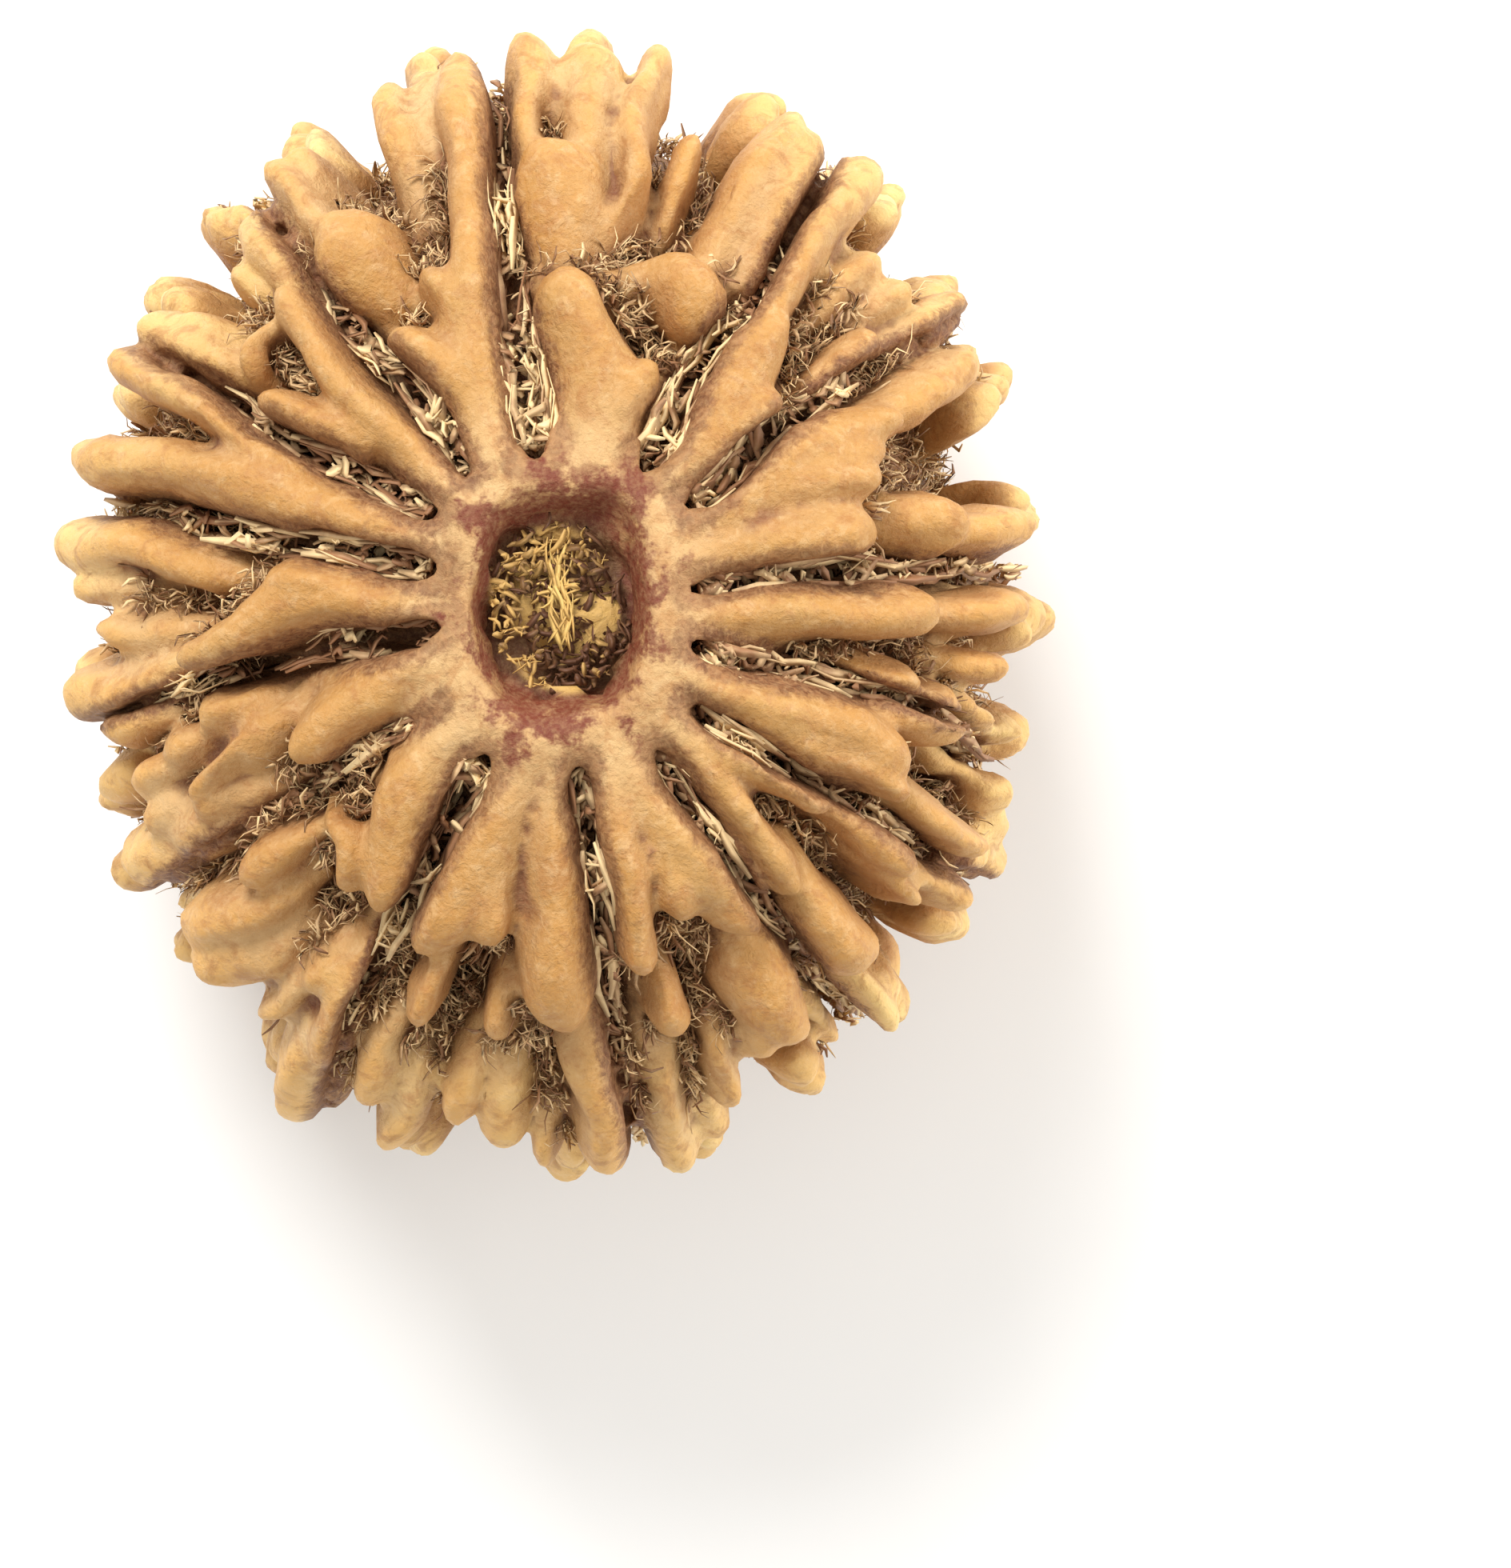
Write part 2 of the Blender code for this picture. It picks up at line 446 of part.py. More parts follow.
def add_remesh(target, voxel):
    """Fuses overlapping bodies into one skin, on a grid of this many millimetres."""
    modifier = target.modifiers.new("Fuse", "REMESH")
    modifier.mode = "VOXEL"
    modifier.voxel_size = voxel * MM


def apply_modifiers(target):
    """Replaces an object's mesh by what its modifiers make of it."""
    graph = bpy.context.evaluated_depsgraph_get()
    mesh = bpy.data.meshes.new_from_object(target.evaluated_get(graph))
    target.modifiers.clear()
    target.data = mesh


def keep_outer_skin(shape):
    """Deletes all but the largest connected skin, so that no sealed hollow and no scrap is left."""
    left = set(shape.verts)
    skins = []
    while left:
        skin, front = set(), [left.pop()]
        while front:
            vertex = front.pop()
            skin.add(vertex)
            for edge in vertex.link_edges:
                other = edge.other_vert(vertex)
                if other in left:
                    left.discard(other)
                    front.append(other)
        skins.append(skin)
    largest = max(skins, key=len)
    loose = [v for skin in skins if skin is not largest for v in skin]
    bmesh.ops.delete(shape, geom=loose, context="VERTS")


def flatten_feet(shape):
    """Cuts the lowest lobes level at z = 0 and closes each cut with a flat face."""
    geometry = list(shape.verts) + list(shape.edges) + list(shape.faces)
    cut = bmesh.ops.bisect_plane(
        shape, geom=geometry, plane_co=(0, 0, 0), plane_no=(0, 0, -1), clear_outer=True,
    )
    rim = [e for e in cut["geom_cut"] if isinstance(e, bmesh.types.BMEdge)]
    for vertex in {v for e in rim for v in e.verts}:
        vertex.co.z = 0
    bmesh.ops.triangle_fill(shape, edges=rim, use_beauty=True)
    bmesh.ops.triangulate(shape, faces=shape.faces)
    bmesh.ops.recalc_face_normals(shape, faces=shape.faces)


def make_bead():
    """The whole bead: its core and lobes fused, its clefts cut, and its feet worn level."""
    noise.seed_set(WARP_SEED)

    def everything(shape):
        add_core(shape)
        add_upper_lobes(shape)
        add_lower_lobes(shape)
        add_lips(shape)

    bead = new_object("rudraksha_bead", everything)
    blades = new_object("cleft_blades", lambda shape: [add_cleft_blade(shape, c) for c in CLEFTS])
    add_remesh(bead, VOXEL)
    cut = bead.modifiers.new("Clefts", "BOOLEAN")
    cut.operation = "DIFFERENCE"
    cut.solver = "MANIFOLD"
    cut.object = blades
    add_remesh(bead, VOXEL)
    smooth = bead.modifiers.new("Soften", "SMOOTH")
    smooth.factor = 0.5
    smooth.iterations = SMOOTH_PASSES
    apply_modifiers(bead)
    bpy.data.objects.remove(blades)

    thin = bead.modifiers.new("Thin", "DECIMATE")
    triangles = sum(len(face.vertices) - 2 for face in bead.data.polygons)
    thin.ratio = KEPT_TRIANGLES / triangles
    apply_modifiers(bead)

    shape = bmesh.new()
    shape.from_mesh(bead.data)
    keep_outer_skin(shape)
    bmesh.ops.translate(shape, verts=shape.verts, vec=(0, 0, CENTRE_Z * MM))
    flatten_feet(shape)
    shape.to_mesh(bead.data)
    shape.free()
    bead.data.shade_smooth()
    return bead


def nut_material():
    material = bpy.data.materials.new("nut")
    material.use_nodes = True
    surface = material.node_tree.nodes["Principled BSDF"]
    surface.inputs["Base Color"].default_value = NUT_COLOUR
    surface.inputs["Roughness"].default_value = 0.55
    surface.inputs["Metallic"].default_value = 0.0
    return material


def main():
    for old in list(bpy.data.objects):
        bpy.data.objects.remove(old)
    bead = make_bead()
    bead.data.materials.clear()
    bead.data.materials.append(nut_material())


main()
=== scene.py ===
"""Dresses the rudraksha bead: a fine mesh of the same stone, its colours, and the fibre in its clefts.

Shape lengths are in millimetres and become metres when a mesh is made. The bead's poles lie on the
Z axis, its oval waist is widest along Y, and it rests on z = 0. A bearing is an angle in degrees
about the axis, from +X towards +Y. A reach is a distance from the axis. A rise says how high a
point stands between the core, at 0, and the outline of the lobes' tips, at 1.
"""

import math
import random

import bmesh
import bpy
import numpy as np
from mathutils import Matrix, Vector, kdtree, noise


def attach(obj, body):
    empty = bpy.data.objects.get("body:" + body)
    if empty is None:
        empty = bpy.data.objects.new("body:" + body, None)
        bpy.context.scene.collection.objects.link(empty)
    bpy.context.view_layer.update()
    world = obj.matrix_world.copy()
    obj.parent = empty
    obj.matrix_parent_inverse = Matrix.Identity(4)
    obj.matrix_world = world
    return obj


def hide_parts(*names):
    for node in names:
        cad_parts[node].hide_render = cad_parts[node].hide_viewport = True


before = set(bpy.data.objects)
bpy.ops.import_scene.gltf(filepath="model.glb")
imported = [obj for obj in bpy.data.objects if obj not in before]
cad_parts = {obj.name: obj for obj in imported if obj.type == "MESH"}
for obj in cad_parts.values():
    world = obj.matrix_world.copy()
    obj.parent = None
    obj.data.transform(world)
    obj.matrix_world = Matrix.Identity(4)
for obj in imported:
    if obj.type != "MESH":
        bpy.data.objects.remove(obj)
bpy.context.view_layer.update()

MM = 0.001

# The outline of the lobes' tips, and how far it stands off the core at the waist and at the poles.
TIP_X, TIP_Y, TIP_Z = 14.4, 16.8, 12.8
RISE_WAIST, RISE_POLE = 4.0, 2.7
OUTLINE_POWER = 2.2

# Each pole has a smooth plateau, with a shallow pit where the stalk's pith has dried away.
PLATEAU_REACH, PLATEAU_RISE = 5.8, 0.93
PIT_X, PIT_Y, PIT_DEPTH = 2.1, 2.7, 1.6

# Clefts: bearing near the pole, half way out and at the waist, reach of the inner end, and width
# of the slot near the pole and at the waist. The slot narrows to its seam at the waist over the
# share CLEFT_CLOSING of a quarter turn, and its floor climbs with it.
CLEFTS = (
    (98.5, 98, 96.5, 4.0, 1.5, 0.4), (59.5, 58.5, 57.8, 4.2, 1.35, 0.35),
    (38, 38, 33.2, 4.3, 1.35, 0.3), (10, 6, 4, 3.4, 1.05, 0.35), (342, 345, 337.5, 3.6, 1.0, 0.3),
    (321, 325.5, 327.5, 4.2, 0.75, 0.3), (303, 304.5, 305, 4.4, 0.9, 0.35),
    (275, 277, 279, 4.2, 1.15, 0.4), (245, 243, 245.2, 4.4, 1.3, 0.35),
    (221, 215, 215.5, 3.8, 0.5, 0.3), (189.5, 192, 197.5, 3.1, 1.2, 0.35),
    (163, 167, 167, 3.4, 1.15, 0.35), (143, 148, 148.8, 4.1, 1.15, 0.3),
    (123, 126, 126.5, 4.2, 1.0, 0.35),
)
CLEFT_CLOSING = 0.7
CLEFT_FLOOR_RISES = (-0.1, 0.25)

# Lobes of the upper half: stations of bearing, reach and width, from the root to the tip.
# The crown's teeth and ridges grow out of the plateau, segment by segment between the clefts.
CROWN = (
    ((80, 3.4, 1.8), (80.5, 5.8, 2.8), (86, 7.4, 2.2), (88.5, 8.5, 1.6)),
    ((73, 4.2, 1.5), (69, 6.0, 1.3)), ((50, 3.9, 1.4), (49, 6.0, 2.1), (50, 7.6, 2.2), (53, 9.2, 1.2)),
    ((46, 5.2, 1.6), (44.5, 6.5, 1.6), (42, 7.3, 1.0)),
    ((53.5, 8.2, 1.3), (55, 10.6, 1.4), (54.5, 12.6, 1.8), (54.5, 14.2, 1.6)),
    ((31, 4.0, 1.3), (31.5, 6.6, 1.8), (31, 8.4, 1.5), (29.7, 9.8, 0.9)),
    ((29, 6.2, 1.8), (26.5, 8.8, 1.2)),
    ((30, 4.4, 1.3), (27.5, 6.4, 2.0), (24, 7.6, 1.6), (21.2, 8.2, 1.0)),
    ((20, 3.0, 1.8), (19, 4.8, 2.3), (14.5, 6.6, 2.2), (12.3, 7.9, 1.4)),
    ((356, 3.0, 1.5), (358, 6.0, 1.5), (359.5, 8.2, 1.5), (359.5, 9.6, 1.5)),
    ((331, 3.4, 1.3), (334, 5.6, 1.9), (336.5, 7.6, 2.1), (335, 9.5, 1.2)),
    ((335, 6.0, 1.8), (338.8, 8.3, 1.1)), ((330, 5.6, 1.2), (330.5, 8.0, 1.2), (331.5, 9.7, 0.9)),
    ((317, 3.8, 1.4), (319.5, 5.6, 1.5), (322, 7.0, 1.3), (323.2, 8.1, 0.9)),
    ((313, 3.7, 1.2), (313, 6.2, 1.0), (311, 8.0, 0.9), (310.3, 9.2, 0.9)),
    ((292, 3.6, 1.5), (295.5, 6.2, 2.0), (299.5, 8.0, 2.3), (302, 9.4, 1.3)),
    ((292, 6.4, 1.4), (293, 8.3, 1.2)),
    ((287, 3.5, 1.5), (285, 6.0, 1.8), (284, 8.0, 1.2), (283, 9.2, 0.9)),
    ((267, 3.4, 1.6), (266.5, 6.0, 1.8), (268.5, 8.4, 2.1), (270.5, 10.8, 2.1)),
    ((256, 3.4, 1.7), (254, 5.6, 2.2), (251, 7.4, 2.5), (247.5, 9.1, 1.4)),
    ((257, 6.4, 1.4), (257.5, 8.2, 1.2)),
    ((229, 3.6, 1.7), (230.5, 5.6, 2.4), (234, 7.2, 2.1), (238, 8.7, 1.1)),
    ((200, 3.3, 1.4), (203, 5.0, 2.1), (206, 6.4, 1.9), (209, 7.2, 1.0)),
    ((178, 3.2, 1.6), (178, 5.2, 2.2), (180.5, 7.2, 2.1), (185, 8.5, 1.5), (188.3, 9.6, 0.8)),
    ((176, 5.4, 1.6), (174.5, 6.9, 1.2)),
    ((156, 3.5, 1.6), (157, 6.0, 2.1), (158.5, 8.4, 2.2), (161, 10.8, 1.5), (163, 13.6, 1.6)),
    ((155, 7.2, 1.7), (152.5, 9.6, 1.2), (152, 11.6, 1.2), (151.5, 13.2, 1.3)),
    ((133, 3.5, 1.5), (135, 5.4, 1.8), (134.5, 7.4, 1.3), (132.8, 9.2, 1.1), (131.5, 10.6, 1.2)),
    ((139, 6.4, 1.5), (142, 8.0, 1.3), (145, 9.1, 1.0)),
    ((111, 3.4, 1.9), (112.5, 5.8, 2.8), (108, 7.6, 2.5),
     (104, 9.6, 1.4), (102.5, 12.0, 1.3), (100.5, 15.0, 1.7)),
    ((115, 5.6, 1.8), (119, 6.9, 1.6), (122, 7.7, 1.1)), ((109, 7.6, 1.4), (111.5, 8.9, 1.0)),
)

# Fat lobes and fingers that stand at full height over nearly their whole length.
BULGES = (
    ((66.5, 11.0, 2.3), (67, 9.7, 2.6), (63.5, 7.6, 1.5)),
    ((89.5, 9.3, 2.3), (89.5, 10.8, 2.9), (91, 12.4, 2.3)),
    ((91.5, 11.6, 1.8), (93.8, 13.2, 1.2), (92.5, 14.6, 1.7), (92.7, 15.4, 1.3)),
    ((86, 11.0, 1.8), (85.5, 12.6, 1.6), (86.5, 14.2, 2.2), (86.5, 15.2, 1.7)),
    ((85, 10.2, 1.0), (80.5, 11.4, 1.0), (81, 13.2, 1.2), (79.3, 15.2, 1.1)),
    ((67, 10.8, 1.6), (65, 12.6, 1.8), (63.7, 14.6, 1.4)),
    ((62, 10.6, 1.3), (60.8, 12.4, 1.5), (60.6, 14.2, 1.2)),
    ((31, 9.4, 1.4), (30.5, 11.4, 1.7), (30, 13.0, 1.6)),
    ((17, 8.6, 1.5), (13.5, 10.0, 2.0), (10.5, 11.0, 1.7)),
    ((11, 10.8, 1.4), (10, 12.0, 1.8), (8.8, 13.2, 1.7)),
    ((359.5, 9.6, 1.1), (358.5, 11.2, 1.2), (358.5, 12.4, 1.1)),
    ((341, 8.8, 1.2), (343, 10.2, 1.5), (344, 11.4, 1.5)),
    ((333.5, 9.8, 1.2), (331.5, 11.6, 1.2), (330.5, 13.2, 1.0)),
    ((321, 8.0, 1.1), (322.5, 9.8, 1.2), (323.5, 11.3, 1.0)),
    ((313, 8.8, 1.2), (311, 10.6, 1.7), (310, 12.8, 1.7)),
    ((299, 9.8, 1.8), (298.5, 11.4, 2.4), (300, 13.4, 1.4)), ((285, 10.0, 1.2), (284.5, 11.5, 1.4)),
    ((272, 11.2, 1.8), (274, 13.0, 2.1), (275.5, 15.6, 1.7)),
    ((253, 8.9, 1.0), (251, 10.2, 1.0), (250, 11.3, 0.9)),
    ((239.5, 10.4, 1.4), (240.5, 12.0, 1.5), (241.5, 13.9, 1.1)),
    ((238, 12.6, 1.4), (240, 14.4, 1.9), (242.5, 16.2, 1.6)),
    ((231, 11.2, 1.5), (228, 12.8, 2.4), (223.5, 13.8, 2.1)),
    ((228.5, 10.0, 1.1), (225, 11.4, 1.4), (219.5, 13.4, 1.7)),
    ((224, 8.6, 1.1), (221.5, 9.8, 1.6), (220, 10.6, 1.1)),
    ((198.5, 8.6, 0.9), (203, 9.2, 0.9), (208.5, 10.8, 0.9)),
    ((217.5, 8.5, 0.9), (222, 8.4, 0.9), (227.5, 8.3, 0.9), (232.5, 9.1, 0.9)),
    ((174.5, 8.4, 1.0), (173, 10.6, 1.5), (172, 12.4, 1.7), (172.8, 13.8, 1.6)),
    ((188, 10.2, 1.4), (190.5, 12.0, 2.0), (191.3, 13.8, 2.0)),
    ((142.5, 10.2, 1.3), (145, 11.8, 1.8), (146.2, 13.6, 1.4)),
    ((131.5, 10.6, 1.1), (135.5, 10.8, 1.2), (140, 10.6, 1.2), (143.5, 9.9, 1.1)),
    ((131, 10.6, 1.3), (130, 12.0, 1.6), (129.3, 13.4, 1.5)),
    ((115.5, 9.5, 1.9), (119.5, 10.6, 2.7), (121.5, 12.0, 2.1)),
    ((121.5, 11.8, 1.7), (122.5, 13.2, 1.5), (123.5, 14.0, 1.0)),
)

# Lower lobes: they rise out of the valleys, and their tips reach the outline.
SHOULDER = (
    ((49, 9.8, 1.0), (48, 11.4, 1.2), (47.4, 12.6, 1.1)),
    ((42, 8.0, 1.1), (40.8, 9.6, 1.5), (39.5, 10.9, 1.1)),
    ((40.5, 10.4, 1.2), (38.8, 12.0, 1.3), (37.3, 13.6, 1.1)), ((44, 11.0, 0.8), (42.5, 12.4, 0.9)),
    ((350, 7.4, 0.8), (348.5, 9.2, 0.8)), ((347, 9.0, 0.9), (346.5, 10.6, 0.9)),
    ((351, 10.4, 0.8), (352, 12.0, 0.9)), ((321.5, 10.4, 1.1), (323, 12.2, 1.1), (324.4, 13.5, 1.0)),
    ((318.5, 9.8, 0.8), (320.5, 12.0, 0.9)), ((309.5, 11.6, 1.1), (308.3, 14.6, 1.2)),
    ((290.5, 11.6, 1.0), (290, 14.2, 1.2)), ((285, 12.0, 1.2), (283, 14.0, 1.6), (282, 16.0, 1.7)),
    ((295, 11.0, 1.0), (295.5, 13.4, 1.2)), ((264, 11.4, 1.4), (263.5, 13.2, 1.7), (264, 14.6, 1.4)),
    ((260, 11.4, 1.1), (257.5, 13.9, 1.3)), ((268.8, 13.0, 0.8), (268.5, 15.2, 0.8)),
    ((262, 9.6, 1.0), (261.5, 11.2, 1.2)), ((250.5, 11.2, 1.1), (248.5, 13.2, 1.4), (247.5, 14.4, 1.2)),
    ((253, 12.2, 1.2), (252, 15.4, 1.4)), ((238, 10.6, 1.1), (236, 11.6, 1.0)),
    ((232, 10.8, 0.8), (234.5, 12.4, 1.0), (234, 13.6, 1.0)),
    ((217, 9.0, 1.2), (213.5, 10.6, 1.8), (211.5, 12.2, 1.7)),
    ((213.5, 10.6, 1.6), (211.8, 12.4, 2.1), (210.5, 14.2, 2.0)),
    ((213, 8.2, 0.9), (211, 9.8, 1.2), (209.5, 10.8, 0.9)),
    ((197.5, 6.8, 0.9), (201, 8.0, 1.3), (205, 9.2, 1.1)), ((197.5, 8.0, 1.1), (198, 9.4, 1.3)),
    ((200, 9.4, 1.1), (201, 11.0, 1.5)), ((203.5, 10.4, 1.1), (203, 12.3, 1.3)),
    ((207.5, 10.6, 1.1), (208, 12.4, 1.2)), ((195.5, 10.6, 1.1), (195, 12.6, 1.3)),
    ((186, 9.4, 1.1), (184, 11.0, 1.6), (182.7, 12.4, 1.3)), ((177.5, 10.6, 0.9), (177, 13.0, 1.2)),
    ((128.5, 10.6, 1.0), (127.8, 13.4, 1.1)), ((139, 11.0, 0.9), (143, 12.6, 1.0)),
    ((134.5, 11.0, 0.9), (134.5, 12.4, 0.9)), ((119.5, 12.2, 1.3), (119.8, 14.1, 1.1)),
    ((109.5, 10.2, 1.3), (109, 12.6, 1.7), (108.5, 15.0, 1.2)),
    ((106, 10.8, 1.1), (105.5, 13.4, 1.5), (104, 14.8, 1.2)), ((75, 11.4, 0.9), (73.5, 12.8, 0.9)),
)

# Saddles that join lobes across a valley.
SADDLES = (
    ((95, 9.4, 1.3), (86, 9.6, 1.5), (77, 9.7, 1.4), (69, 9.6, 1.5)),
    ((27, 9.0, 1.1), (22, 9.8, 1.2), (16, 9.6, 1.1)),
    ((273, 11.8, 1.3), (267, 12.2, 1.5), (261, 11.8, 1.1)),
    ((236.5, 9.8, 0.8), (240, 10.0, 0.8), (243, 10.0, 0.7)),
    ((286, 9.2, 0.9), (289, 10.0, 0.9), (294, 9.9, 0.9)),
    ((153, 12.2, 1.0), (157, 12.4, 1.1), (161, 12.4, 1.0)),
)

# How the crest climbs from the root to the tip of the lobes of each table.
CROWN_RISES, BULGE_RISES = (0.9, 1.02, 1.1), (0.5, 0.92, 0.98)
SHOULDER_RISES, SADDLE_RISES = (0.1, 0.66, 0.96), (0.6, 0.52, 0.6)

# Lobes of the lower half grow in rows between the clefts: angle from the lower pole to the root and
# to the tip, how many stand side by side, their width and how high they rise. Each strays a little
# in bearing, in the angles of its root and tip, in height and in width.
LOWER_SEED = 14
LOWER_ROWS = (
    (17, 42, 1, 2.2, 0.96), (40, 58, 2, 1.7, 0.95), (54, 74, 2, 1.8, 0.93), (68, 86, 2, 1.7, 0.86),
    (80, 98, 2, 1.6, 0.76), (93, 110, 2, 1.6, 0.72),
)
WIDE_SEGMENT = 30
ROOTS_DRAWN_IN = 0.8
BEARING_STRAY, ROOT_STRAY, TIP_STRAY = 2, 3, 5
HEIGHT_STRAY, WIDTH_STRAY = (0.94, 1.04), (0.85, 1.15)
LOWER_TAPER, LOWER_RISES = (0.8, 1.0, 0.8), (0.6, 1.0, 1.0)

# A low wall follows each side of every cleft from pole to pole.
LIP_RISE, LIP_WAVER, LIP_WIDTH, LIP_OFFSET = 0.46, 0.18, 0.8, 0.7
LIP_END_RISE, LIP_STATIONS = 0.7, 9
LIP_START = 22

# How the fused body is made: voxel, smoothing passes, and the triangles that stay.
VOXEL = 0.14
SMOOTH_PASSES = 3
KEPT_TRIANGLES = 190000
FOOT_CUT = 0.9
CENTRE_Z = TIP_Z - FOOT_CUT

# How growth bends everything a little: how far, over what length, and the seed of its noise.
WARP, WARP_LENGTH, WARP_SEED = 0.32, 2.8, 7

# The section of a lobe: how square it is, how much narrower its crest is than its foot, how deep it
# goes into the core, and how deep its free tip is, also as a share of the tip's half width.
LOBE_SIDES = 16
LOBE_SQUARENESS = 0.88
CREST_NARROWING = 0.16
ROOT_DEPTH, TIP_DEPTH, TIP_FATNESS = 1.2, 1.7, 2.6

# Along a lobe: the length of its round tip in widths, how far smoothing would shorten it, how many
# rings each station gets, and how the rings crowd towards the tip.
TIP_LENGTH, LONGEST_TIP = 0.8, 0.6
TIP_STRETCH = 0.4
STATION_STEPS = 5
RING_CROWDING, FIRST_RING, LAST_RING = 1.5, 0.01, 0.996
HEADING_STEP = 0.03

# The core's grid, and the blades that cut the clefts: half widths at the floor, in the middle and
# at the top as shares of the slot's, and how narrow each end is.
CORE_SIDES, CORE_RINGS = 120, 90
BLADE_STEPS, BLADE_END_STEPS, BLADE_TOP_RISE = 48, 3, 1.6
BLADE_SHARES, BLADE_END_SHARE = (0.5, 0.9, 1.5), 0.2


def oval(bearing, across, along):
    """Reach of an oval with these half widths along X and Y, at a bearing in radians."""
    return 1 / math.hypot(math.cos(bearing) / across, math.sin(bearing) / along)


def outline(bearing, rise):
    """Reach at the waist and height at the pole of the outline at a rise, for a bearing in radians."""
    sunk = (1 - rise) * RISE_WAIST
    return oval(bearing, TIP_X - sunk, TIP_Y - sunk), TIP_Z - (1 - rise) * RISE_POLE


def at_reach(bearing, reach, rise):
    """The point of the upper half at a bearing in degrees, a reach and a rise."""
    bearing = math.radians(bearing)
    waist, pole = outline(bearing, rise)
    waist_tips = outline(bearing, 1)[0]
    share = min(reach / waist_tips, 1.0)
    reach = share * waist
    height = pole * (1 - share**OUTLINE_POWER) ** (1 / OUTLINE_POWER)
    return Vector((reach * math.cos(bearing), reach * math.sin(bearing), height))


def at_polar(bearing, polar, rise):
    """The point at a bearing and a polar angle from +Z, both in degrees, and a rise."""
    bearing, polar = math.radians(bearing), math.radians(polar)
    waist, pole = outline(bearing, rise)
    side, up = math.sin(polar), math.cos(polar)
    reciprocal = (side / waist) ** OUTLINE_POWER + (abs(up) / pole) ** OUTLINE_POWER
    distance = reciprocal ** (-1 / OUTLINE_POWER)
    return distance * Vector((side * math.cos(bearing), side * math.sin(bearing), up))


def outward(point):
    """Unit normal of the bead's smooth outline at a point."""
    return Vector((point.x / TIP_X**2, point.y / TIP_Y**2, point.z / TIP_Z**2)).normalized()


def warp_offset(point):
    """How far growth has pushed a point aside."""
    return noise.noise_vector(point / WARP_LENGTH) * WARP


def pit_share(x, y):
    """How far out a point lies from the middle of the pit, 1 on its rim, which is a rounded oblong."""
    return (abs(x / PIT_X) ** 3 + abs(y / PIT_Y) ** 3) ** (1 / 3)


def closed_loft(mesh, rings):
    """Adds to a bmesh the closed skin of these rings of points, each end drawn to its ring's middle."""
    made = [[mesh.verts.new((p + warp_offset(p)) * MM) for p in ring] for ring in rings]
    for low, high in zip(made, made[1:]):
        for i in range(len(low)):
            j = (i + 1) % len(low)
            mesh.faces.new((low[i], low[j], high[j], high[i]))
    for ring, turned in ((made[0], True), (made[-1], False)):
        middle = mesh.verts.new(sum((v.co for v in ring), Vector()) / len(ring))
        for i in range(len(ring)):
            a, b = ring[i], ring[(i + 1) % len(ring)]
            mesh.faces.new((b, a, middle) if turned else (a, b, middle))


def add_core(mesh):
    """Adds the core that the lobes stand on, with the plateau and the pit of each pole."""
    rings = []
    for k in range(1, CORE_RINGS):
        polar = 180 * k / CORE_RINGS
        ring = []
        for i in range(CORE_SIDES):
            bearing = 360 * i / CORE_SIDES
            point = at_polar(bearing, polar, 0)
            reach = math.hypot(point.x, point.y)
            plateau = PLATEAU_RISE * math.exp(-((reach / PLATEAU_REACH) ** 8))
            pit = math.exp(-(pit_share(point.x, point.y) ** 10))
            lift = plateau * RISE_POLE - pit * PIT_DEPTH
            point.z += math.copysign(lift, point.z)
            ring.append(point)
        rings.append(ring)
    closed_loft(mesh, rings)


def along_curve(values, t):
    """Smooth value at t from 0 to 1 through evenly spaced numbers."""
    spans = len(values) - 1
    at = min(max(t, 0.0), 1.0) * spans
    k = min(int(at), spans - 1)
    f = at - k
    p1, p2 = values[k], values[k + 1]
    p0 = values[k - 1] if k > 0 else 2 * p1 - p2
    p3 = values[k + 2] if k + 2 <= spans else 2 * p2 - p1
    return 0.5 * (2 * p1 + (p2 - p0) * f + (2 * p0 - 5 * p1 + 4 * p2 - p3) * f * f
                  + (3 * p1 - p0 - 3 * p2 + p3) * f**3)


def add_lobe(mesh, path, widths, rises, free=0.45):
    """Adds one lobe with its crest at path(t, rise), t from 0 at the root to 1 at the tip.

    The lobe is a wall that goes down into the core. Past the share `free` of its length its
    underside lifts off the core, and its tip is round.
    """
    steps = STATION_STEPS * max(len(widths), 2)

    def crest(t):
        return path(min(max(t, 0.0), 1.0), along_curve(rises, t))

    length = sum((crest((k + 1) / 8) - crest(k / 8)).length for k in range(8))
    cap = min(TIP_LENGTH * widths[-1] / length, LONGEST_TIP)
    rings = []
    for k in range(steps + 1):
        t = min(max(1 - (1 - k / steps) ** RING_CROWDING, FIRST_RING), LAST_RING)
        point = crest(t)
        along = (crest(t + HEADING_STEP) - crest(t - HEADING_STEP)).normalized()
        up = outward(point)
        up = (up - along * up.dot(along)).normalized()
        across = along.cross(up)
        rounding = math.sqrt(1 - max(0.0, (t - 1 + cap) / cap) ** 2)
        half_width = along_curve(widths, t) / 2
        wall = along_curve(rises, t) * RISE_WAIST + ROOT_DEPTH
        tip_depth = min(max(TIP_FATNESS * half_width, TIP_DEPTH), wall)
        loose = max(0.0, (t - free) / (1 - free))
        half_depth = (wall + (tip_depth - wall) * loose) / 2
        centre = point - up * half_depth
        ring = []
        for i in range(LOBE_SIDES):
            turn = 2 * math.pi * i / LOBE_SIDES
            side = math.copysign(abs(math.cos(turn)) ** LOBE_SQUARENESS, math.cos(turn))
            high = math.copysign(abs(math.sin(turn)) ** LOBE_SQUARENESS, math.sin(turn))
            side *= half_width * (1 - CREST_NARROWING * high)
            ring.append(centre + rounding * (across * side + up * high * half_depth))
        rings.append(ring)
    closed_loft(mesh, rings)


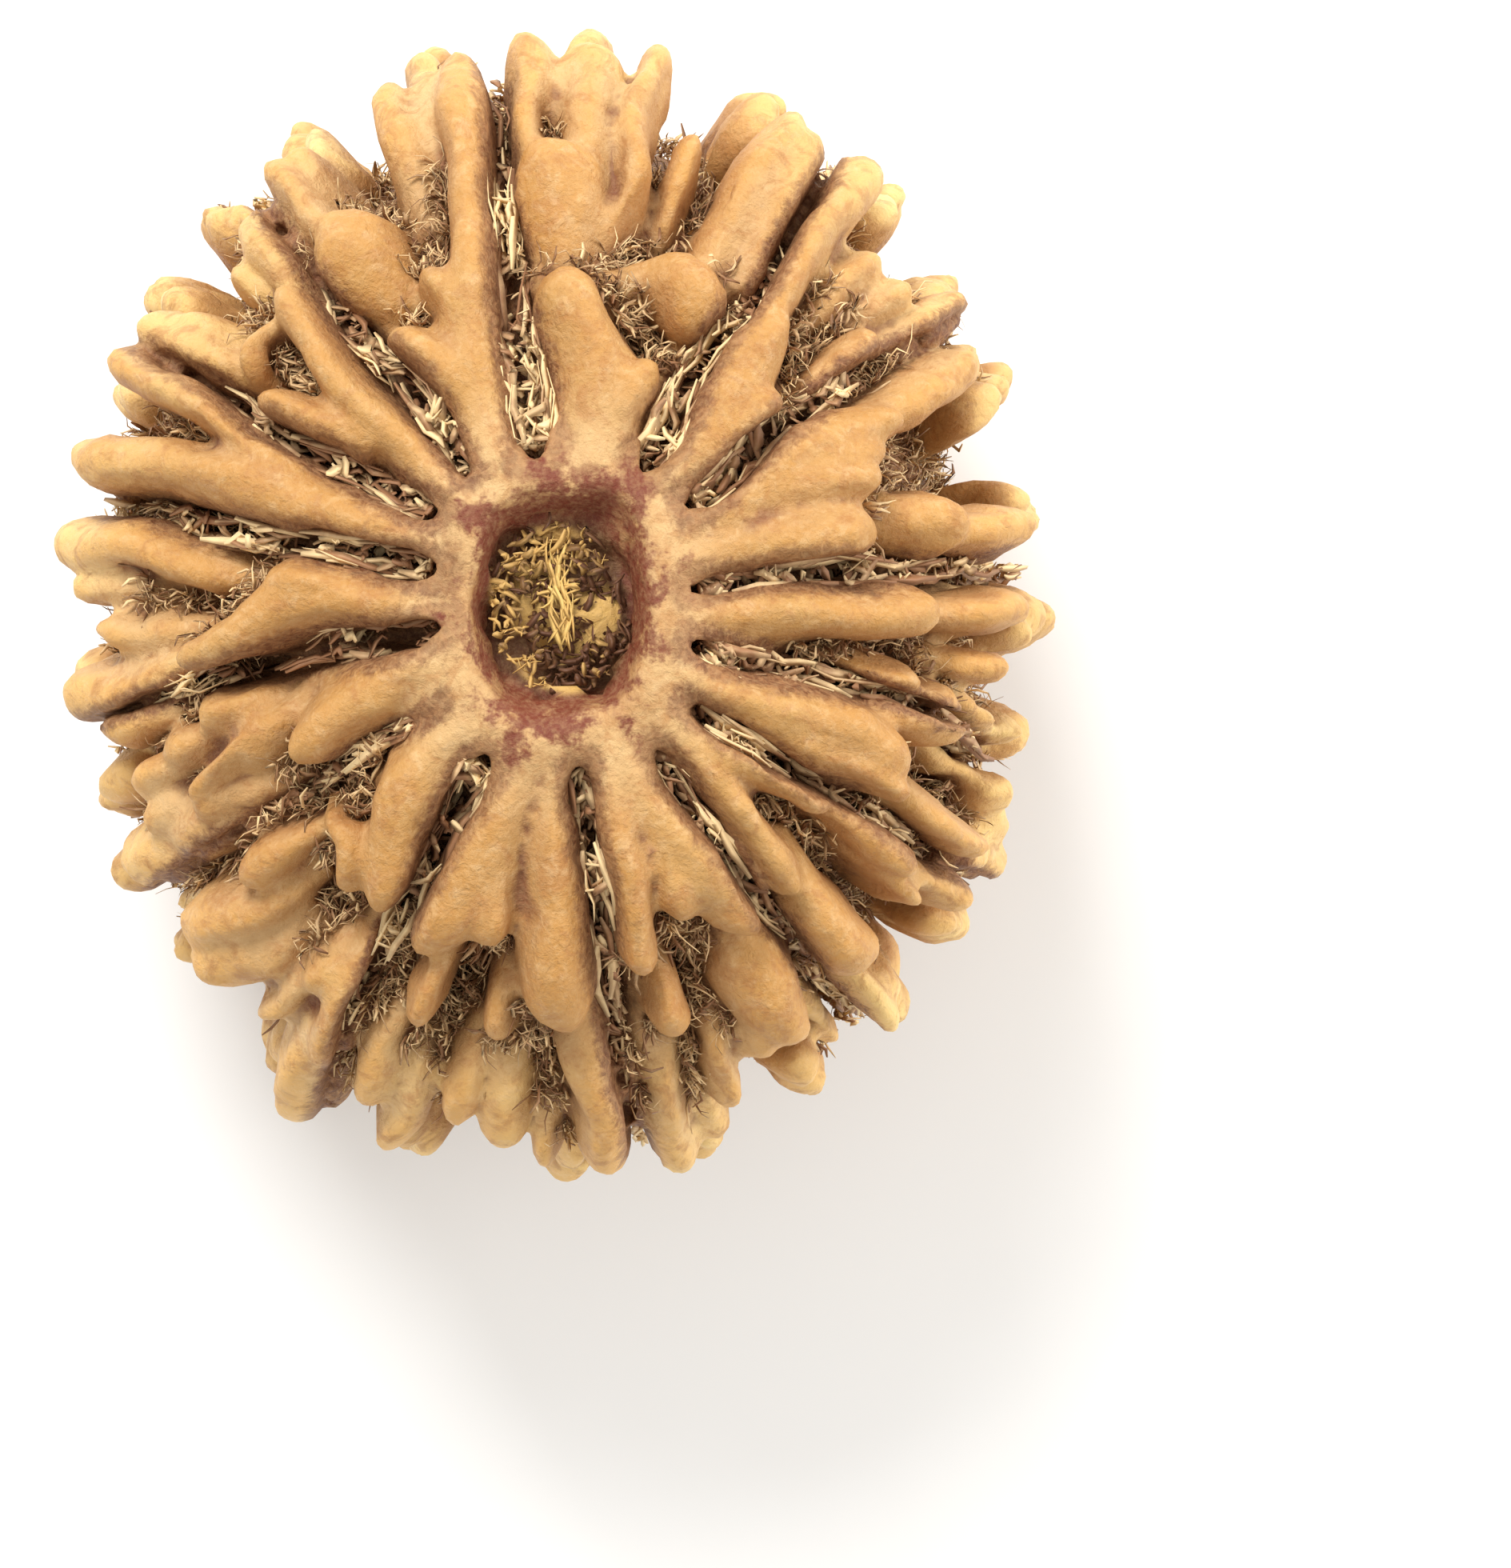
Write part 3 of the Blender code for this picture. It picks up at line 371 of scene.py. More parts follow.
def unwrapped(bearings):
    """The same bearings without jumps over 360."""
    whole = [bearings[0]]
    for bearing in bearings[1:]:
        whole.append(whole[-1] + (bearing - whole[-1] + 180) % 360 - 180)
    return whole


def add_upper_lobes(mesh):
    """Adds the lobes of the four tables."""
    tables = (CROWN, BULGES, SHOULDER, SADDLES)
    climbs = (CROWN_RISES, BULGE_RISES, SHOULDER_RISES, SADDLE_RISES)
    for table, rises in zip(tables, climbs):
        for stations in table:
            bearings = unwrapped([s[0] for s in stations])
            reaches = [s[1] for s in stations]
            reaches[-1] += TIP_STRETCH

            def path(t, rise):
                return at_reach(along_curve(bearings, t), along_curve(reaches, t), rise)

            add_lobe(mesh, path, [s[2] for s in stations], rises)


def cleft_bearing(cleft, polar):
    """Bearing of a cleft at a polar angle; below the waist it keeps its last bearing."""
    return along_curve(unwrapped(cleft[:3]), min(polar, 90) / 90)


def add_lower_lobes(mesh):
    """Adds the rows of lobes that cover the sides and the lower half."""
    draw = random.Random(LOWER_SEED)
    bearings = sorted(cleft_bearing(cleft, 90) % 360 for cleft in CLEFTS)
    for start, end in zip(bearings, bearings[1:] + [bearings[0] + 360]):
        room = end - start
        for root_polar, tip_polar, count, width, rise_here in LOWER_ROWS:
            if count == 1 and room > WIDE_SEGMENT:
                count = 2
            for i in range(count):
                share = (i + 0.5) / count
                root_bearing = start + room * (0.5 + (share - 0.5) * ROOTS_DRAWN_IN)
                tip_bearing = start + room * share + draw.uniform(-BEARING_STRAY, BEARING_STRAY)
                bearing = (root_bearing, tip_bearing)
                root_here = 180 - root_polar - draw.uniform(-ROOT_STRAY, ROOT_STRAY)
                tip_here = 180 - tip_polar - draw.uniform(-TIP_STRAY, TIP_STRAY)
                polar = (root_here, tip_here)
                height = rise_here * draw.uniform(*HEIGHT_STRAY)
                broad = width * draw.uniform(*WIDTH_STRAY)

                def path(t, rise):
                    return at_polar(along_curve(bearing, t), along_curve(polar, t), rise * height)

                add_lobe(mesh, path, [broad * share for share in LOWER_TAPER], LOWER_RISES)


def add_lips(mesh):
    """Adds the low wavering walls beside the clefts."""
    draw = random.Random(LOWER_SEED + 1)
    for cleft in CLEFTS:
        for side in (-1, 1):
            rises = [LIP_RISE + draw.uniform(-LIP_WAVER, LIP_WAVER) for _ in range(LIP_STATIONS)]
            rises = [LIP_END_RISE, *rises, LIP_END_RISE]

            def path(t, rise):
                polar = LIP_START + (180 - 2 * LIP_START) * t
                middle = at_polar(cleft_bearing(cleft, polar), polar, rise)
                around = Vector((-middle.y, middle.x, 0)).normalized()
                return middle + around * side * LIP_OFFSET

            add_lobe(mesh, path, [LIP_WIDTH] * 6, rises, free=1.0 - 1e-6)


def slot_half(cleft, closed):
    """Half width of a cleft's slot, where it is closed by this share."""
    return (cleft[4] + (cleft[5] - cleft[4]) * closed) / 2


def add_cleft_blade(mesh, cleft):
    """Adds the thin curved blade, wider at its top, that opens one cleft from pole to pole."""
    inner = math.degrees(math.atan2(cleft[3], TIP_Z))
    rings = []
    for k in range(BLADE_STEPS + 1):
        polar = inner + (180 - 2 * inner) * k / BLADE_STEPS
        bearing = cleft_bearing(cleft, polar)
        closed = min(min(polar, 180 - polar) / 90 / CLEFT_CLOSING, 1.0)
        half = slot_half(cleft, closed)
        from_end = min(k, BLADE_STEPS - k) / BLADE_END_STEPS
        if from_end < 1:
            half *= BLADE_END_SHARE + (1 - BLADE_END_SHARE) * math.sqrt(1 - (1 - from_end) ** 2)
        low, high = CLEFT_FLOOR_RISES
        floor = at_polar(bearing, polar, low + (high - low) * closed)
        top = at_polar(bearing, polar, BLADE_TOP_RISE)
        across = Vector((-floor.y, floor.x, 0)).normalized() * half
        levels = list(zip((floor, (floor + top) / 2, top), BLADE_SHARES))
        ring = [point + across * share for point, share in levels]
        ring += [point - across * share for point, share in reversed(levels)]
        rings.append(ring)
    closed_loft(mesh, rings)


def placed(name, data):
    """A new object in the scene."""
    made = bpy.data.objects.new(name, data)
    bpy.context.scene.collection.objects.link(made)
    return made


def new_object(name, build):
    """An object whose mesh build(bmesh) fills, with its faces turned outwards."""
    shape = bmesh.new()
    build(shape)
    bmesh.ops.recalc_face_normals(shape, faces=shape.faces)
    mesh = bpy.data.meshes.new(name)
    shape.to_mesh(mesh)
    shape.free()
    return placed(name, mesh)


def add_remesh(target, voxel):
    """Fuses overlapping bodies into one skin, on a grid of this many millimetres."""
    modifier = target.modifiers.new("Fuse", "REMESH")
    modifier.mode = "VOXEL"
    modifier.voxel_size = voxel * MM


def apply_modifiers(target):
    """Replaces an object's mesh by what its modifiers make of it."""
    graph = bpy.context.evaluated_depsgraph_get()
    mesh = bpy.data.meshes.new_from_object(target.evaluated_get(graph))
    target.modifiers.clear()
    target.data = mesh


def keep_outer_skin(shape):
    """Deletes all but the largest connected skin, so that no sealed hollow and no scrap is left."""
    left = set(shape.verts)
    skins = []
    while left:
        skin, front = set(), [left.pop()]
        while front:
            vertex = front.pop()
            skin.add(vertex)
            for edge in vertex.link_edges:
                other = edge.other_vert(vertex)
                if other in left:
                    left.discard(other)
                    front.append(other)
        skins.append(skin)
    largest = max(skins, key=len)
    loose = [v for skin in skins if skin is not largest for v in skin]
    bmesh.ops.delete(shape, geom=loose, context="VERTS")


def flatten_feet(shape):
    """Cuts the lowest lobes level at z = 0 and closes each cut with a flat face."""
    geometry = list(shape.verts) + list(shape.edges) + list(shape.faces)
    cut = bmesh.ops.bisect_plane(
        shape, geom=geometry, plane_co=(0, 0, 0), plane_no=(0, 0, -1), clear_outer=True,
    )
    rim = [e for e in cut["geom_cut"] if isinstance(e, bmesh.types.BMEdge)]
    for vertex in {v for e in rim for v in e.verts}:
        vertex.co.z = 0
    bmesh.ops.triangle_fill(shape, edges=rim, use_beauty=True)
    bmesh.ops.triangulate(shape, faces=shape.faces)
    bmesh.ops.recalc_face_normals(shape, faces=shape.faces)


def make_bead(name):
    """The whole bead: its core and lobes fused, its clefts cut, and its feet worn level."""
    noise.seed_set(WARP_SEED)

    def everything(shape):
        add_core(shape)
        add_upper_lobes(shape)
        add_lower_lobes(shape)
        add_lips(shape)

    bead = new_object(name, everything)
    blades = new_object("cleft_blades", lambda shape: [add_cleft_blade(shape, c) for c in CLEFTS])
    add_remesh(bead, VOXEL)
    cut = bead.modifiers.new("Clefts", "BOOLEAN")
    cut.operation = "DIFFERENCE"
    cut.solver = "MANIFOLD"
    cut.object = blades
    add_remesh(bead, VOXEL)
    smooth = bead.modifiers.new("Soften", "SMOOTH")
    smooth.factor = 0.5
    smooth.iterations = SMOOTH_PASSES
    apply_modifiers(bead)
    bpy.data.objects.remove(blades)

    thin = bead.modifiers.new("Thin", "DECIMATE")
    triangles = sum(len(face.vertices) - 2 for face in bead.data.polygons)
    thin.ratio = min(KEPT_TRIANGLES / triangles, 1.0)
    apply_modifiers(bead)

    shape = bmesh.new()
    shape.from_mesh(bead.data)
    keep_outer_skin(shape)
    bmesh.ops.translate(shape, verts=shape.verts, vec=(0, 0, CENTRE_Z * MM))
    flatten_feet(shape)
    shape.to_mesh(bead.data)
    shape.free()
    bead.data.shade_smooth()
    return bead


# Small waves in the surface, amplitude and wavelength. They fade out just above the ground.
WAVES = ((0.14, 2.0), (0.10, 0.9), (0.05, 0.45))
FOOT_FADE = 0.6

# The same for the crumbling pith on the floor of the upper pit, which fades near its rim, and the
# holes that open in it where a noise is below an edge.
PITH_WAVES = ((0.5, 0.9), (0.4, 0.4))
PITH_REACH, PITH_FADE = 0.9, 0.2
PITH_HOLE_DEPTH, PITH_HOLE_LENGTH, PITH_HOLE_EDGE, PITH_HOLE_SLOPE = 1.1, 0.75, -0.22, 0.1

# Rays of the pit's red rim: how far out they reach, how closely they follow and how broad they are.
RAY_REACH, RAY_RATE, RAY_BREADTH = 0.55, 4.0, 0.15

# How many rounds of averaging bring out narrow crests and wide ones.
NEAR_ROUNDS, WIDE_ROUNDS = 12, 120

# Steps along a cleft's course, how much wider its slot is at the top, and a distance far from any.
COURSE_STEPS, SLOT_TOP_SHARE, FAR_FROM_CLEFT = 45, 1.15, 9.0

# Every strand of fibre is a flat prism that narrows at its ends and keeps clear of the ground.
STRAND_POINTS, STRAND_SIDES, STRAND_FLATNESS, STRAND_END_SHARE = 4, 3, 0.3, 0.45
GROUND_GAP = 0.2

# How many strands each cleft, each band of the valleys, the pit and its cord get, and their half widths.
CLEFT_STRANDS, VALLEY_STRANDS, PIT_STRANDS, CORD_STRANDS = 560, 9600, 420, 18
CLEFT_HALF, VALLEY_HALF, PIT_HALF, CORD_HALF = (0.04, 0.17), (0.02, 0.075), (0.03, 0.12), (0.02, 0.08)
STRAW_SEED, HAIR_SEED, PITH_SEED = 21, 22, 23

# Straw: its share below the waist, the length of its clumps in degrees, how far past the slot it may
# reach, and the rise of its top at the pole, with the drop to the waist and the heap of a clump.
STRAW_BELOW, CLUMP_LENGTH, PAST_SLOT = 0.4, 6, 1.1
STRAW_TOP, STRAW_DROP, STRAW_HEAP = 0.78, 0.31, 0.25

# The share of straw along the walls. Then, for that and for the chips between: the place across the
# slot as a share of its half width, the spread of the heading in radians, and the length.
WALL_SHARE = 0.35
WALL_STRAW = ((0.55, 0.95), 0.06, (0.8, 2.4))
CHIP_STRAW = ((-0.8, 0.8), 0.8, (0.2, 0.8))

# Hair: the bands of height that its pieces cover, how near a vertex of a hollow it grows, and the
# rises, crests, pit shares and cleft edges that a hollow has. Last, the hair's length, curl and turns.
VALLEY_BANDS = (("lower", 0.6, 10.5), ("middle", 10.5, 17.5), ("upper", 17.5, 30.0))
VALLEY_REACH = 0.35
VALLEY_RISES, VALLEY_CREST, VALLEY_PIT_SHARE, VALLEY_EDGE = (-0.1, 0.6), -0.08, 1.5, 0.1
HAIR_LENGTH, HAIR_CURL, HAIR_TURNS = (0.2, 1.0, 0.35), (0.08, 0.22), (2, 5)

# Pith: the height of the pit's floor, the share of it under the mat, and the cord's points and wander.
PIT_FLOOR = TIP_Z - (1 - PLATEAU_RISE) * RISE_POLE - PIT_DEPTH
PITH_SPREAD, CORD_POINTS, CORD_WANDER = 0.84, 9, 0.6

# Colours of the photographed bead and of the stage, as linear red, green and blue.
TIP_TAN = (0.74, 0.395, 0.115)
# Gold of random blots, and also a painted highlight on the tips towards the waist.
TIP_GOLD = (0.90, 0.62, 0.24)
# Painted shade that browns the crown.
CROWN_TAN = (0.45, 0.215, 0.058)
HAZE = (0.80, 0.56, 0.30)
PLATEAU_ROSE = (0.50, 0.27, 0.11)
STEM_BEIGE = (0.68, 0.45, 0.22)
PLATEAU_PALE = (0.68, 0.44, 0.20)
# Brown of random smudges, and also painted shade on the walls that face away from the outline.
WALL_BROWN = (0.42, 0.18, 0.055)
# The next three colours are painted shade in the hollows and creases between the lobes, partly the brown
# of the fibre there.
VALLEY_FIBRE_AND_SHADE_BROWN = (0.18, 0.070, 0.028)
LINT_AND_SHADE_BROWN = (0.40, 0.195, 0.080)
CREASE_SHADE_RED = (0.20, 0.066, 0.034)
CLEFT_BROWN = (0.16, 0.058, 0.026)
PIT_RED = (0.19, 0.046, 0.024)
# Dark tone of the pith strands, and also painted shade in the hollows of the pit's floor.
PITH_BROWN = (0.13, 0.050, 0.020)
PITH_GOLD = (0.66, 0.40, 0.12)
CORD_GOLD = (0.78, 0.52, 0.16)
STRAW = (0.94, 0.69, 0.36)
STRAW_BROWN = (0.34, 0.16, 0.07)
HAIR_STRAW = (0.90, 0.64, 0.33)
HAIR_BROWN = (0.27, 0.125, 0.050)
FLOOR_WHITE = (0.93, 0.93, 0.92)
SKY_WHITE = (1.0, 0.98, 0.95)

# The camera looks straight down on the upper pole. Pixels are of the 1889 by 1960 photograph.
PHOTO_WIDE, PHOTO_TALL = 1889, 1960
POLE_PX = (700, 757)
PX_PER_MM = 45.0
CAMERA_ABOVE_WAIST = 120.0
SENSOR = 36.0

# Lights: place, side and watts. Then the sky's strength and the floor's side.
LIGHTS = (("key", (-60, 150, 180), 90, 0.5), ("fill", (190, 40, 80), 140, 0.25))
SKY_STRENGTH = 0.8
FLOOR_SIDE = 2000


def read_rows(items, name, width, kind=float):
    """What a mesh stores on each of its items, one row each."""
    values = np.empty(len(items) * width, dtype=kind)
    items.foreach_get(name, values)
    return values.reshape(-1, width)


def mesh_points(mesh):
    """Vertex positions of a mesh in millimetres."""
    return read_rows(mesh.vertices, "co", 3) / MM


def mesh_normals(mesh):
    return read_rows(mesh.vertex_normals, "vector", 3)


def stored_values(mesh, name):
    return read_rows(mesh.attributes[name].data, "value", 1, np.float32)[:, 0]


def relaxed(values, edges, rounds):
    """Each vertex's value averaged with its neighbours', this many times over."""
    count = np.bincount(edges.ravel(), minlength=len(values)).astype(float)
    for _ in range(rounds):
        total = np.zeros_like(values)
        for axis in range(values.shape[1]):
            for end, other in ((0, 1), (1, 0)):
                total[:, axis] += np.bincount(edges[:, end], values[edges[:, other], axis], len(values))
        values = 0.5 * values + 0.5 * total / count[:, None]
    return values


def rise_of(from_middle):
    """Rise of each point, from the outlines at rise 0 and 1 in its direction from the middle."""
    distance = np.linalg.norm(from_middle, axis=1)
    unit = from_middle / distance[:, None]
    side = np.hypot(unit[:, 0], unit[:, 1])
    bearing = np.arctan2(unit[:, 1], unit[:, 0])
    reached = []
    for rise in (0, 1):
        sunk = (1 - rise) * RISE_WAIST
        waist = 1 / np.hypot(np.cos(bearing) / (TIP_X - sunk), np.sin(bearing) / (TIP_Y - sunk))
        pole = TIP_Z - (1 - rise) * RISE_POLE
        total = (side / waist) ** OUTLINE_POWER + (np.abs(unit[:, 2]) / pole) ** OUTLINE_POWER
        reached.append(total ** (-1 / OUTLINE_POWER))
    return (distance - reached[0]) / (reached[1] - reached[0])


def cleft_edge_of(points):
    """Distance of each point, in millimetres, from the edge of the nearest cleft, below 0 inside."""
    reach = np.hypot(points[:, 0], points[:, 1])
    bearing = np.degrees(np.arctan2(points[:, 1], points[:, 0]))
    polar = np.degrees(np.arctan2(reach, np.abs(points[:, 2])))
    grid = np.linspace(0, 90, COURSE_STEPS + 1)
    nearest = np.full(len(points), FAR_FROM_CLEFT)
    for cleft in CLEFTS:
        course = np.array([cleft_bearing(cleft, p) for p in grid])
        course_here = np.where(points[:, 2] < 0, course[-1], np.interp(polar, grid, course))
        aside = np.radians((bearing - course_here + 180) % 360 - 180)
        gap = np.where(np.cos(aside) > 0, np.abs(np.sin(aside)) * reach, FAR_FROM_CLEFT)
        inner = np.maximum(cleft[3] - reach, 0)
        half = slot_half(cleft, np.minimum(polar / 90 / CLEFT_CLOSING, 1)) * SLOT_TOP_SHARE
        nearest = np.minimum(nearest, np.hypot(gap, inner) - half)
    return nearest


def pit_share_of(points):
    """How far out each point lies from the middle of the pit, 1 on its rim."""
    return np.array([pit_share(x, y) for x, y in points[:, :2]])


def pit_rays_of(points):
    """The same share, drawn in along some bearings, so that the red rim sends rays outwards."""
    bearings = np.arctan2(points[:, 1], points[:, 0])
    round_pit = [Vector((math.cos(b), math.sin(b), 0.3)) for b in bearings]
    rays = np.array([noise.noise(spot * RAY_RATE) for spot in round_pit])
    return pit_share_of(points) / (1 + RAY_REACH * np.clip(rays + RAY_BREADTH, 0, 1))


def facing_of(points, normals):
    """Cosine between each vertex normal and the smooth outline's normal there."""
    out = (points - [0, 0, CENTRE_Z]) / np.array([TIP_X, TIP_Y, TIP_Z]) ** 2
    out /= np.linalg.norm(out, axis=1)[:, None]
    return np.einsum("ij,ij->i", out, normals)


def unwarped(points):
    """Where points in the bead's middle frame stood before growth pushed them aside, nearly."""
    return np.array([Vector(p) - warp_offset(Vector(p) - warp_offset(Vector(p))) for p in points])


def noise_of(points, wavelength):
    return np.array([noise.noise(Vector(p) / wavelength) for p in points])


def add_waves(mesh):
    """Moves the surface along its normals by smooth noise."""
    points = mesh_points(mesh)
    normals = mesh_normals(mesh)
    moved = np.zeros(len(points))
    for amplitude, wavelength in WAVES:
        moved += amplitude * noise_of(points, wavelength)
    source = unwarped(points - [0, 0, CENTRE_Z])
    pith = np.clip((PITH_REACH - pit_share_of(source)) / PITH_FADE, 0, 1) * (source[:, 2] > 0)
    for amplitude, wavelength in PITH_WAVES:
        moved += pith * amplitude * noise_of(points, wavelength)
    crumbs = noise_of(points, PITH_HOLE_LENGTH)
    moved -= pith * PITH_HOLE_DEPTH * np.clip((PITH_HOLE_EDGE - crumbs) / PITH_HOLE_SLOPE, 0, 1)
    moved *= np.clip(points[:, 2] / FOOT_FADE, 0, 1)
    mesh.vertices.foreach_set("co", ((points + normals * moved[:, None]) * MM).ravel())
    mesh.update()


def add_values(mesh):
    """Stores on each vertex what the stone's colours depend on."""
    points = mesh_points(mesh)
    normals = mesh_normals(mesh)
    edges = read_rows(mesh.edges, "vertices", 2, np.int64)
    source = unwarped(points - [0, 0, CENTRE_Z])

    def crest(rounds):
        return np.einsum("ij,ij->i", points - relaxed(points, edges, rounds), normals)

    values = {
        "rise": rise_of(source),
        "cleft_edge": cleft_edge_of(source),
        "pit_share": pit_share_of(source),
        "crest_near": crest(NEAR_ROUNDS),
        "crest_wide": crest(WIDE_ROUNDS),
        "facing": facing_of(points, normals),
        "pit_rays": pit_rays_of(source),
        "upper": (source[:, 2] > 0).astype(float),
        "poleward": np.abs(source[:, 2]) / TIP_Z,
    }
    for name, numbers in values.items():
        stored = mesh.attributes.new(name, "FLOAT", "POINT")
        stored.data.foreach_set("value", numbers.astype(np.float32))


def strand_corners(points, half, tone):
    """Corners of one strand, ring by ring. Its flat side looks outwards, turned a little by its tone."""
    facing = (points[0] + points[-1] - Vector((0, 0, 2 * CENTRE_Z))).normalized()
    facing = (facing + Vector((tone - 0.5, 0.5 - tone, 0.3 - tone))).normalized()
    last = len(points) - 1
    for k, point in enumerate(points):
        along = (points[min(k + 1, last)] - points[max(k - 1, 0)]).normalized()
        across = along.cross(facing).normalized()
        other = along.cross(across)
        taper = half * (STRAND_END_SHARE if k in (0, last) else 1.0)
        for side in range(STRAND_SIDES):
            turn = 2 * math.pi * side / STRAND_SIDES
            spot = point + (across * math.cos(turn) + other * math.sin(turn) * STRAND_FLATNESS) * taper
            yield spot * MM


def strand_faces(first, rings):
    """Side and end faces of one strand, whose corners are numbered from first."""
    for low in range(first, first + (rings - 1) * STRAND_SIDES, STRAND_SIDES):
        for side in range(STRAND_SIDES):
            a, b = low + side, low + (side + 1) % STRAND_SIDES
            yield a, b, b + STRAND_SIDES, a + STRAND_SIDES
    yield tuple(first + side for side in reversed(range(STRAND_SIDES)))
    last = first + (rings - 1) * STRAND_SIDES
    yield tuple(last + side for side in range(STRAND_SIDES))


def strands_object(name, strands, material):
    """One mesh of thin closed strands. Each strand is a list of points, a half width and a tone 0 to 1."""
    vertices, faces, tones = [], [], []
    for points, half, tone in strands:
        faces.extend(strand_faces(len(vertices), len(points)))
        vertices.extend(strand_corners(points, half, tone))
        tones.extend([tone] * len(points) * STRAND_SIDES)
    mesh = bpy.data.meshes.new(name)
    mesh.from_pydata(vertices, [], faces)
    stored = mesh.attributes.new("tone", "FLOAT", "POINT")
    stored.data.foreach_set("value", tones)
    mesh.shade_smooth()
    mesh.materials.append(material)
    made = placed(name, mesh)
    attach(made, "root")


def grown(point):
    """A point of the bead's middle frame, warped and moved to the frame that rests on z = 0."""
    return point + warp_offset(point) + Vector((0, 0, CENTRE_Z))


def clears_ground(points):
    return min(point.z for point in points) > GROUND_GAP


def straw(draw, cleft, inner, polar, closed, clump):
    """One strand of straw in a cleft, near a polar angle: points, half width and tone."""
    half_slot = slot_half(cleft, closed)
    top = STRAW_TOP - STRAW_DROP * closed + STRAW_HEAP * clump
    by_wall = draw.random() < WALL_SHARE
    places, spread, lengths = WALL_STRAW if by_wall else CHIP_STRAW
    side = draw.choice((-1, 1)) if by_wall else 1
    aside = side * draw.uniform(*places) * half_slot
    swing, length = draw.gauss(0, spread), draw.uniform(*lengths)
    rise = max(top - draw.expovariate(5), 0.1)
    climb = draw.uniform(-0.1, 0.14)
    bend = draw.uniform(-0.15, 0.15)
    farthest = half_slot * PAST_SLOT
    points = []
    for k in range(STRAND_POINTS):
        t = k / (STRAND_POINTS - 1) - 0.5
        here = polar + math.degrees(length * t * math.cos(swing) / TIP_Z)
        here = min(max(here, inner), 180 - inner)
        middle = at_polar(cleft_bearing(cleft, here), here, rise + climb * t + bend * t * t)
        around = Vector((-middle.y, middle.x, 0)).normalized()
        shift = aside + length * t * math.sin(swing) + bend * math.sin(5 * t + rise * 9)
        points.append(grown(middle + around * min(max(shift, -farthest), farthest)))
    tone = min(max(draw.random() + clump - 0.22, 0), 1)
    return points, draw.uniform(*CLEFT_HALF), tone


def cleft_strands():
    """Straw in the clefts: long strands along the walls and short chips between, in loose clumps."""
    draw = random.Random(STRAW_SEED)
    strands = []
    for cleft in CLEFTS:
        inner = math.degrees(math.atan2(cleft[3], TIP_Z)) + 2
        wanted = len(strands) + CLEFT_STRANDS
        while len(strands) < wanted:
            polar = inner + (90 - inner) * draw.random() ** 1.5
            closed = min(polar / 90 / CLEFT_CLOSING, 1.0)
            if draw.random() < STRAW_BELOW:
                polar = 180 - polar
            clump = noise.noise(Vector((polar / CLUMP_LENGTH, cleft[0], 0)))
            if draw.random() > 0.6 + 1.2 * clump:
                continue
            strand = straw(draw, cleft, inner, polar, closed, clump)
            if clears_ground(strand[0]):
                strands.append(strand)
    return strands


def hollow_vertices(mesh, low, high):
    """Numbers of the vertices between two heights that lie in the hollows between lobes."""
    rise, height = stored_values(mesh, "rise"), mesh_points(mesh)[:, 2]
    lowest, highest = VALLEY_RISES
    hollow = (height > low) & (height <= high) & (rise > lowest) & (rise < highest)
    hollow &= stored_values(mesh, "crest_wide") < VALLEY_CREST
    hollow &= stored_values(mesh, "pit_share") > VALLEY_PIT_SHARE
    return np.flatnonzero(hollow & (stored_values(mesh, "cleft_edge") > VALLEY_EDGE))


def hair(draw, foot, out):
    """One curled hair over the foot, a point where the surface looks out: points, half width and tone."""
    start = foot + out * draw.uniform(0.0, 0.25)
    lean = Vector([draw.gauss(0, 1) for _ in range(3)]).normalized()
    heading = (lean - out * (0.7 * lean.dot(out) - 0.15)).normalized()
    aside = heading.cross(out + lean * 0.5).normalized()
    length = draw.triangular(*HAIR_LENGTH)
    curl = draw.uniform(*HAIR_CURL)
    turns = draw.uniform(*HAIR_TURNS)
    path = []
    for k in range(STRAND_POINTS):
        t = k / (STRAND_POINTS - 1)
        spiral = aside * math.sin(turns * t) + out * (1 - math.cos(turns * t))
        path.append(start + heading * (t * length) + spiral * curl)
    return path, draw.uniform(*VALLEY_HALF), draw.random() ** 1.2


def valley_strands(mesh, low, high):
    """Curled hair in the hollows between the lobes, from one height above the ground to another."""
    draw = random.Random(HAIR_SEED)
    points = mesh_points(mesh)
    normals = mesh_normals(mesh)
    hollow = hollow_vertices(mesh, low, high)
    tree = kdtree.KDTree(len(hollow))
    for index in hollow:
        tree.insert(points[index], index)
    tree.balance()
    strands = []
    while len(strands) < VALLEY_STRANDS:
        x, y = draw.uniform(-TIP_X, TIP_X), draw.uniform(-TIP_Y, TIP_Y)
        spot = Vector((x, y, draw.uniform(low, min(high, 2 * TIP_Z))))
        foot, index, distance = tree.find(spot)
        if distance > VALLEY_REACH:
            continue
        strand = hair(draw, foot, Vector(normals[index]))
        if clears_ground(strand[0]):
            strands.append(strand)
    return strands


def pith_strand(draw):
    """One strand of the mat on the pit's floor: points, half width and tone."""
    angle = draw.uniform(0, 2 * math.pi)
    share = math.sqrt(draw.random()) * PITH_SPREAD
    x = PIT_X * share * math.cos(angle)
    y = PIT_Y * share * math.sin(angle)
    heap = noise.noise(Vector((x, y, 0.5)) * 0.9)
    z = PIT_FLOOR + 0.15 + 0.45 * heap + draw.uniform(-0.1, 0.25)
    heading = draw.uniform(0, math.pi)
    length = draw.triangular(0.1, 0.8, 0.15)
    bend = draw.uniform(-0.4, 0.4)
    slope = draw.uniform(-0.3, 0.3)
    points = []
    for k in range(STRAND_POINTS):
        t = k / (STRAND_POINTS - 1) - 0.5
        x_here = x + math.cos(heading) * length * t - math.sin(heading) * bend * t * t
        y_here = y + math.sin(heading) * length * t + math.cos(heading) * bend * t * t
        points.append(grown(Vector((x_here, y_here, z + slope * t))))
    tone = min(max(0.2 + heap + draw.gauss(0, 0.28), 0), 1)
    return points, draw.uniform(*PIT_HALF), tone


